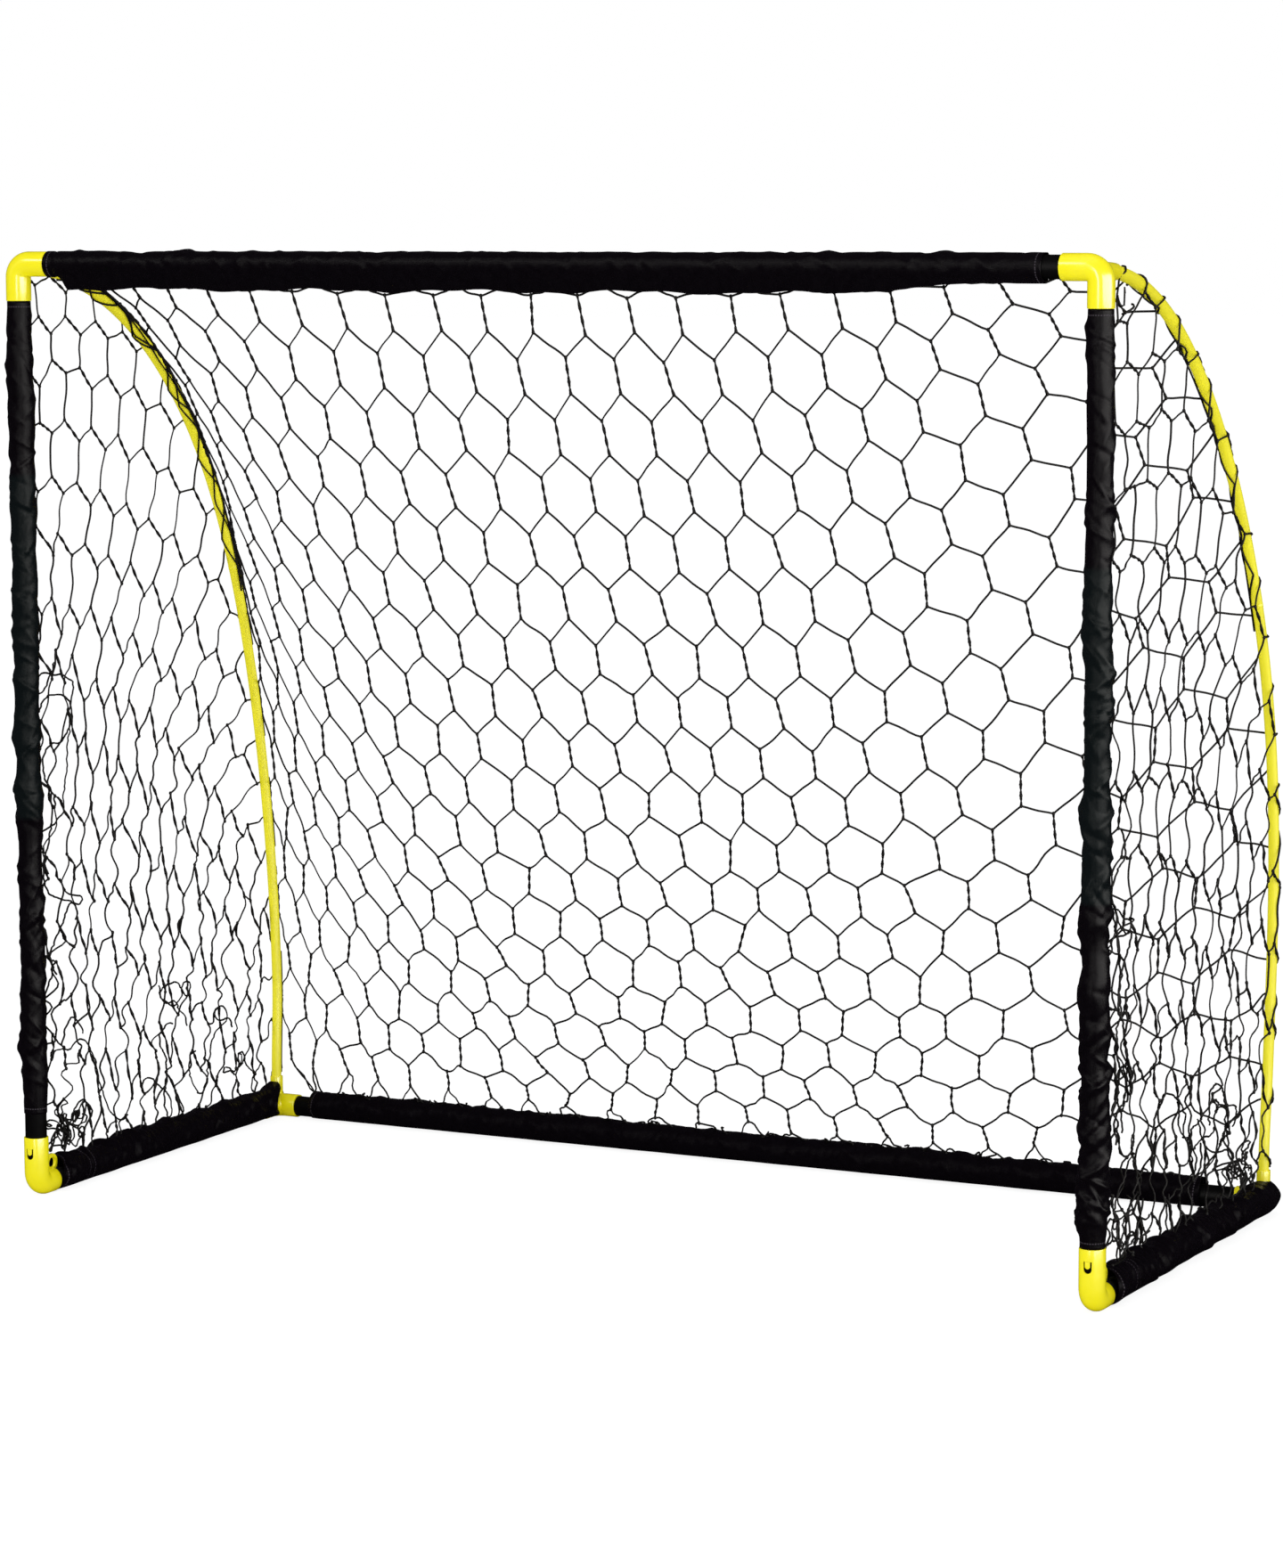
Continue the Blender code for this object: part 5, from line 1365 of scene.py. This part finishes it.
def side_knots(side):
    """Flat places of a side net's knots, and whether each is the low end of its zigzag."""
    spots = {}
    row_z = ARCH_TOP + 0.12
    for row in range(SIDE_ROWS):
        row_z -= float(np.interp(row_z, HEIGHTS, ROW_TALL))
        deep, zigzag, fall, fall_more = (
            float(np.interp(row_z, HEIGHTS, table[side])) for table in (CELL_DEEP, ZIGZAG, FALL, FALL_MORE)
        )
        for column in range(-1, SIDE_COLUMNS):
            low_knot = (row + column) % 2 == 0
            y = 0.006 + column * deep / 2
            z = row_z - (1 if low_knot else -1) * zigzag - fall * y - fall_more * y * y
            low_down = min(max((1.3 - z) / 1.2, 0), 1)
            loose = SHIFT + SHIFT_LOW * low_down + SHIFT_NEAR_POST * (y < 0.15)
            y += dice.normal() * loose * 0.8
            z += dice.normal() * loose
            spots[row, column] = (y, z, low_knot)
    return spots


# %% [markdown]
# A low knot has a single leg down to the next row, and the knots of a row are joined by single
# and double legs in turn. What lies outside the net's outline is cut off, and a leg that is cut
# at the pole goes on along the pole's back.

# %% Legs of the side nets
SIDE_STEPS = {"single": 9, "double": 8}
SIDE_SLACK, SLACK_LOW, SLACK_NEAR_POST = 0.03, 0.17, 0.12
for side, hand in HANDS:
    part = f"side_{side}"
    edge_half = 0 if hand < 0 else 2 * COLUMNS
    edge_knots = np.array([place for (row, half, level), place in rear_knots.items() if half == edge_half])
    spots = side_knots(side)
    for (row, column), (y, z, low_knot) in spots.items():
        if inside(y, z):
            net[part, "knots"].append(side_spot(hand, y, z))
        legs = []
        if low_knot and (row + 1, column) in spots:
            legs.append((spots[row + 1, column], "single"))
        if (row, column + 1) in spots:
            legs.append((spots[row, column + 1], "single" if low_knot else "double"))
        for (next_y, next_z, _), kind in legs:
            ends = [(y, z), (next_y, next_z)]
            kept = [inside(*end) for end in ends]
            if not any(kept):
                continue
            for place, other in ((0, 1), (1, 0)):
                if not kept[place]:
                    ends[place] = tuple(cut_back(ends[other], ends[place]))
                    if beyond_pole(*ends[place])[0] > 0:
                        end = side_spot(hand, *ends[place])
                        knot = edge_knots[np.argmin(np.abs(edge_knots - end).sum(1))]
                        net[part, "single"].append(along_back(hand, ends[place], knot))
            low_down = min(max((1.25 - min(ends[0][1], ends[1][1])) / 1.2, 0), 1)
            slack = SIDE_SLACK + SLACK_LOW * low_down**1.5 + SLACK_NEAR_POST * (ends[0][0] < 0.12) * low_down
            slack = slack / 2 if kind == "double" else slack
            net[part, kind].append(side_line(hand, *ends, slack, SIDE_STEPS[kind]))
    print(part, len(net[part, "knots"]), "knots")

# %% [markdown]
# Near the crossbar the bag is pulled over the inside of the poles too: two of its edge strands
# zigzag down the pole's inner face, and one runs along it.

# %% Strands over the poles
OVER_TOP, OVER_FOOT = 1.488, 0.93
OVER_POLE = (
    # turns, phase, lowest and highest angle
    (5.5, 0.1, 128, 300),
    (4.2, 0.6, 120, 262),
    (1.6, 0.3, 150, 215),
)
for side, hand in HANDS:
    heights = arch_heights(OVER_TOP, OVER_FOOT, 110)
    axis, outward, back = pole_ways(hand, heights)
    down_the_pole = np.linspace(0, 1, len(heights))
    for turns, phase, low_angle, high_angle in OVER_POLE:
        wave = np.abs(2 * ((turns * down_the_pole + phase) % 1) - 1)
        angles = np.radians(low_angle + (high_angle - low_angle) * wave)[:, None]
        ring = np.cos(angles) * outward + np.sin(angles) * back
        net[f"side_{side}", "single"].append(axis + (pole_radius(heights) + SINGLE_RADIUS)[:, None] * ring)
print("strands over each pole:", len(OVER_POLE))

# %% [markdown]
# The bag is too deep for its frame. Its spare twine lies in open curls above the front feet and
# in the right rear corner, hangs in loops along the lower posts and over the base, and stands up
# in small loops along the rear sleeve. A small tangle hangs behind the right top corner. A
# wandering line turns a little more or less at each step.

# %% Loose twine
STEP = 0.005
KEEP_TURN, TURN_HOME = 0.75, 0.9
KEEP_BULGE, BULGE_MORE = 0.85, 0.0012
HANGING = 0.05


def wander(part, hand, start, heading, steps, bend, sink, low, high):
    """A loose twine on a side net's surface; sink draws it down, and it turns back at its box."""
    y, z = start
    turn, bulge = 0.0, 0.0
    points = []
    for _ in range(steps):
        turn = KEEP_TURN * turn + bend * dice.normal()
        heading += turn + sink * math.sin(-math.pi / 2 - heading)
        if not (low[0] < y < high[0] and low[1] < z < high[1]):
            home = math.atan2((low[1] + high[1]) / 2 - z, (low[0] + high[0]) / 2 - y)
            heading += TURN_HOME * math.sin(home - heading)
        y += STEP * math.cos(heading)
        z += STEP * math.sin(heading)
        bulge = KEEP_BULGE * bulge + BULGE_MORE * dice.normal()
        points.append(side_spot(hand, y, z, bulge))
    net[part, "single"].append(np.array(points))


def curl(part, centre, radius, turns, stretch):
    """A free loop or two of twine round a place."""
    ways = np.linalg.qr(dice.normal(size=(3, 3)))[0]
    angles = dice.uniform(0, 2 * np.pi) + np.linspace(0, 2 * np.pi * turns, max(7, int(13 * turns)))
    wander_more = dice.uniform(0.8, 1.25)
    loop = np.cos(angles)[:, None] * ways[0] + 0.8 * np.sin(wander_more * angles)[:, None] * ways[1]
    loop += 0.35 * np.linspace(-1, 1, len(angles))[:, None] * ways[2]
    net[part, "single"].append(np.asarray(centre, float) + radius * loop * np.array(stretch))


def scatter(part, low, high, count, radii, turns, stretch):
    """Curls at chance places in a box."""
    for _ in range(count):
        curl(part, dice.uniform(low, high), dice.uniform(*radii), dice.uniform(*turns), stretch)


LOOSE = (
    # steps, bend, sink, low y and z, high y and z, how many on the left and on the right
    (56, 0.27, 0.00, (0.036, 0.070), (0.140, 0.116), 6, 2),
    (120, 0.10, 0.13, (0.022, 0.100), (0.130, 0.860), 3, 4),
    (80, 0.11, 0.04, (0.080, 0.066), (0.640, 0.300), 4, 8),
    (34, 0.24, 0.00, (0.590, 0.066), (0.700, 0.120), 2, 3),
)
for side, hand in HANDS:
    part = f"side_{side}"
    for steps, bend, sink, low, high, on_left, on_right in LOOSE:
        for _ in range(on_left if hand < 0 else on_right):
            start = dice.uniform(low, high)
            if sink > HANGING:
                start[1] = dice.uniform(0.45, 1.0) * high[1]
            wander(part, hand, start, dice.uniform(-math.pi, math.pi), steps, bend, sink, low, high)
sleeve_top = GROUND_CLEAR + REAR_TALL
CURLS = (
    # part, low and high corner of the box, how many, radii, turns, stretch
    (
        "rear", (POST_X - 0.060, REAR_Y - 0.045, 0.062), (POST_X - 0.022, REAR_Y - 0.012, 0.085),
        4, (0.012, 0.020), (0.8, 1.4), (1, 0.8, 1),
    ),
    (
        "rear", (sleeve_low + 0.03, REAR_Y - 0.010, sleeve_top - 0.001),
        (sleeve_high - 0.03, REAR_Y, sleeve_top + 0.002), 46, (0.004, 0.009), (0.5, 1.0), (1.3, 0.5, 0.8),
    ),
    (
        "side_right", (0.918, -0.345, 1.440), (0.938, -0.315, 1.470),
        3, (0.006, 0.012), (0.4, 0.8), (1, 1, 1.3),
    ),
)
for row in CURLS:
    scatter(*row)
print("curls:", sum(row[3] for row in CURLS))

# %% [markdown]
# All legs of a kind go into one curve object: single legs with a thin bevel of four sides, double
# legs with a section of two plies that turns as it goes, so that they look twisted, and converted
# to meshes. Each leg has a few dozen faces, because there are thousands. The knots are small
# flattened balls.

# %% Net meshes
PLY_SIDES = 8
PLY_TURN = math.radians(58)
KNOT_RADIUS, KNOT_TALL = 0.0027, 1.25


def ply_section():
    """Two twines side by side, as the section of a double leg."""
    shape = bpy.data.curves.new("ply_section", "CURVE")
    shape.dimensions = "2D"
    spline = shape.splines.new("POLY")
    spline.use_cyclic_u = True
    spline.points.add(PLY_SIDES - 1)
    for index, point in enumerate(spline.points):
        angle = 2 * math.pi * index / PLY_SIDES
        waist = 0.42 + 0.58 * abs(math.cos(angle))
        thick = 1.1 * DOUBLE_RADIUS * math.sin(angle) * (0.6 + waist / 2)
        point.co = (1.85 * DOUBLE_RADIUS * math.cos(angle), thick, 0, 1)
    return bench(shape)


def line_mesh(name, lines, radius=None, section=None):
    """A mesh of thin rods along many lines, plain ones or ones with a section that turns."""
    curve = bpy.data.curves.new(name, "CURVE")
    curve.dimensions = "3D"
    curve.use_fill_caps = True
    if section:
        curve.bevel_mode = "OBJECT"
        curve.bevel_object = section
    else:
        curve.bevel_depth = radius
        curve.bevel_resolution = 0
    for line in lines:
        spline = curve.splines.new("POLY")
        spline.points.add(len(line) - 1)
        spline.points.foreach_set("co", np.column_stack((line, np.ones(len(line)))).ravel())
        spline.points.foreach_set("tilt", np.arange(len(line)) * (PLY_TURN if section else 0.0))
    bench(curve)
    bpy.ops.object.convert(target="MESH")
    bpy.ops.object.shade_smooth()
    return bpy.context.active_object


def knot_mesh(name, places):
    """Small flattened balls at the knots."""
    bpy.ops.object.select_all(action="DESELECT")
    bpy.ops.mesh.primitive_uv_sphere_add(segments=7, ring_count=5, radius=KNOT_RADIUS)
    ball = bpy.context.active_object
    shape = np.array([vertex.co for vertex in ball.data.vertices]) * (1.0, 1.0, KNOT_TALL)
    faces = [tuple(face.vertices) for face in ball.data.polygons]
    bpy.data.objects.remove(ball, do_unlink=True)
    points = (np.array(places)[:, None, :] + shape[None]).reshape(-1, 3)
    first_corners = range(0, len(places) * len(shape), len(shape))
    polygons = [tuple(corner + first for corner in face) for first in first_corners for face in faces]
    mesh = bpy.data.meshes.new(name)
    mesh.from_pydata(points.tolist(), [], polygons)
    piece = bench(mesh)
    bpy.ops.object.shade_smooth()
    return piece


plies = ply_section()
for part, node in (("rear", "rear_net"), ("side_left", "side_net_left"), ("side_right", "side_net_right")):
    singles = line_mesh(f"net_{part}_single", net[part, "single"], radius=SINGLE_RADIUS)
    doubles = line_mesh(f"net_{part}_double", net[part, "double"], section=plies)
    knots = knot_mesh(f"net_{part}_knots", net[part, "knots"])
    for piece in (singles, doubles, knots):
        finish(piece, piece.name, twine, "front_frame", [node])
        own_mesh(piece)
        print(piece.name, len(piece.data.polygons), "faces")
bpy.data.objects.remove(plies, do_unlink=True)

# %% [markdown]
# Colours are shown plainly.

# %% Finish
bpy.context.scene.view_settings.view_transform = "Standard"
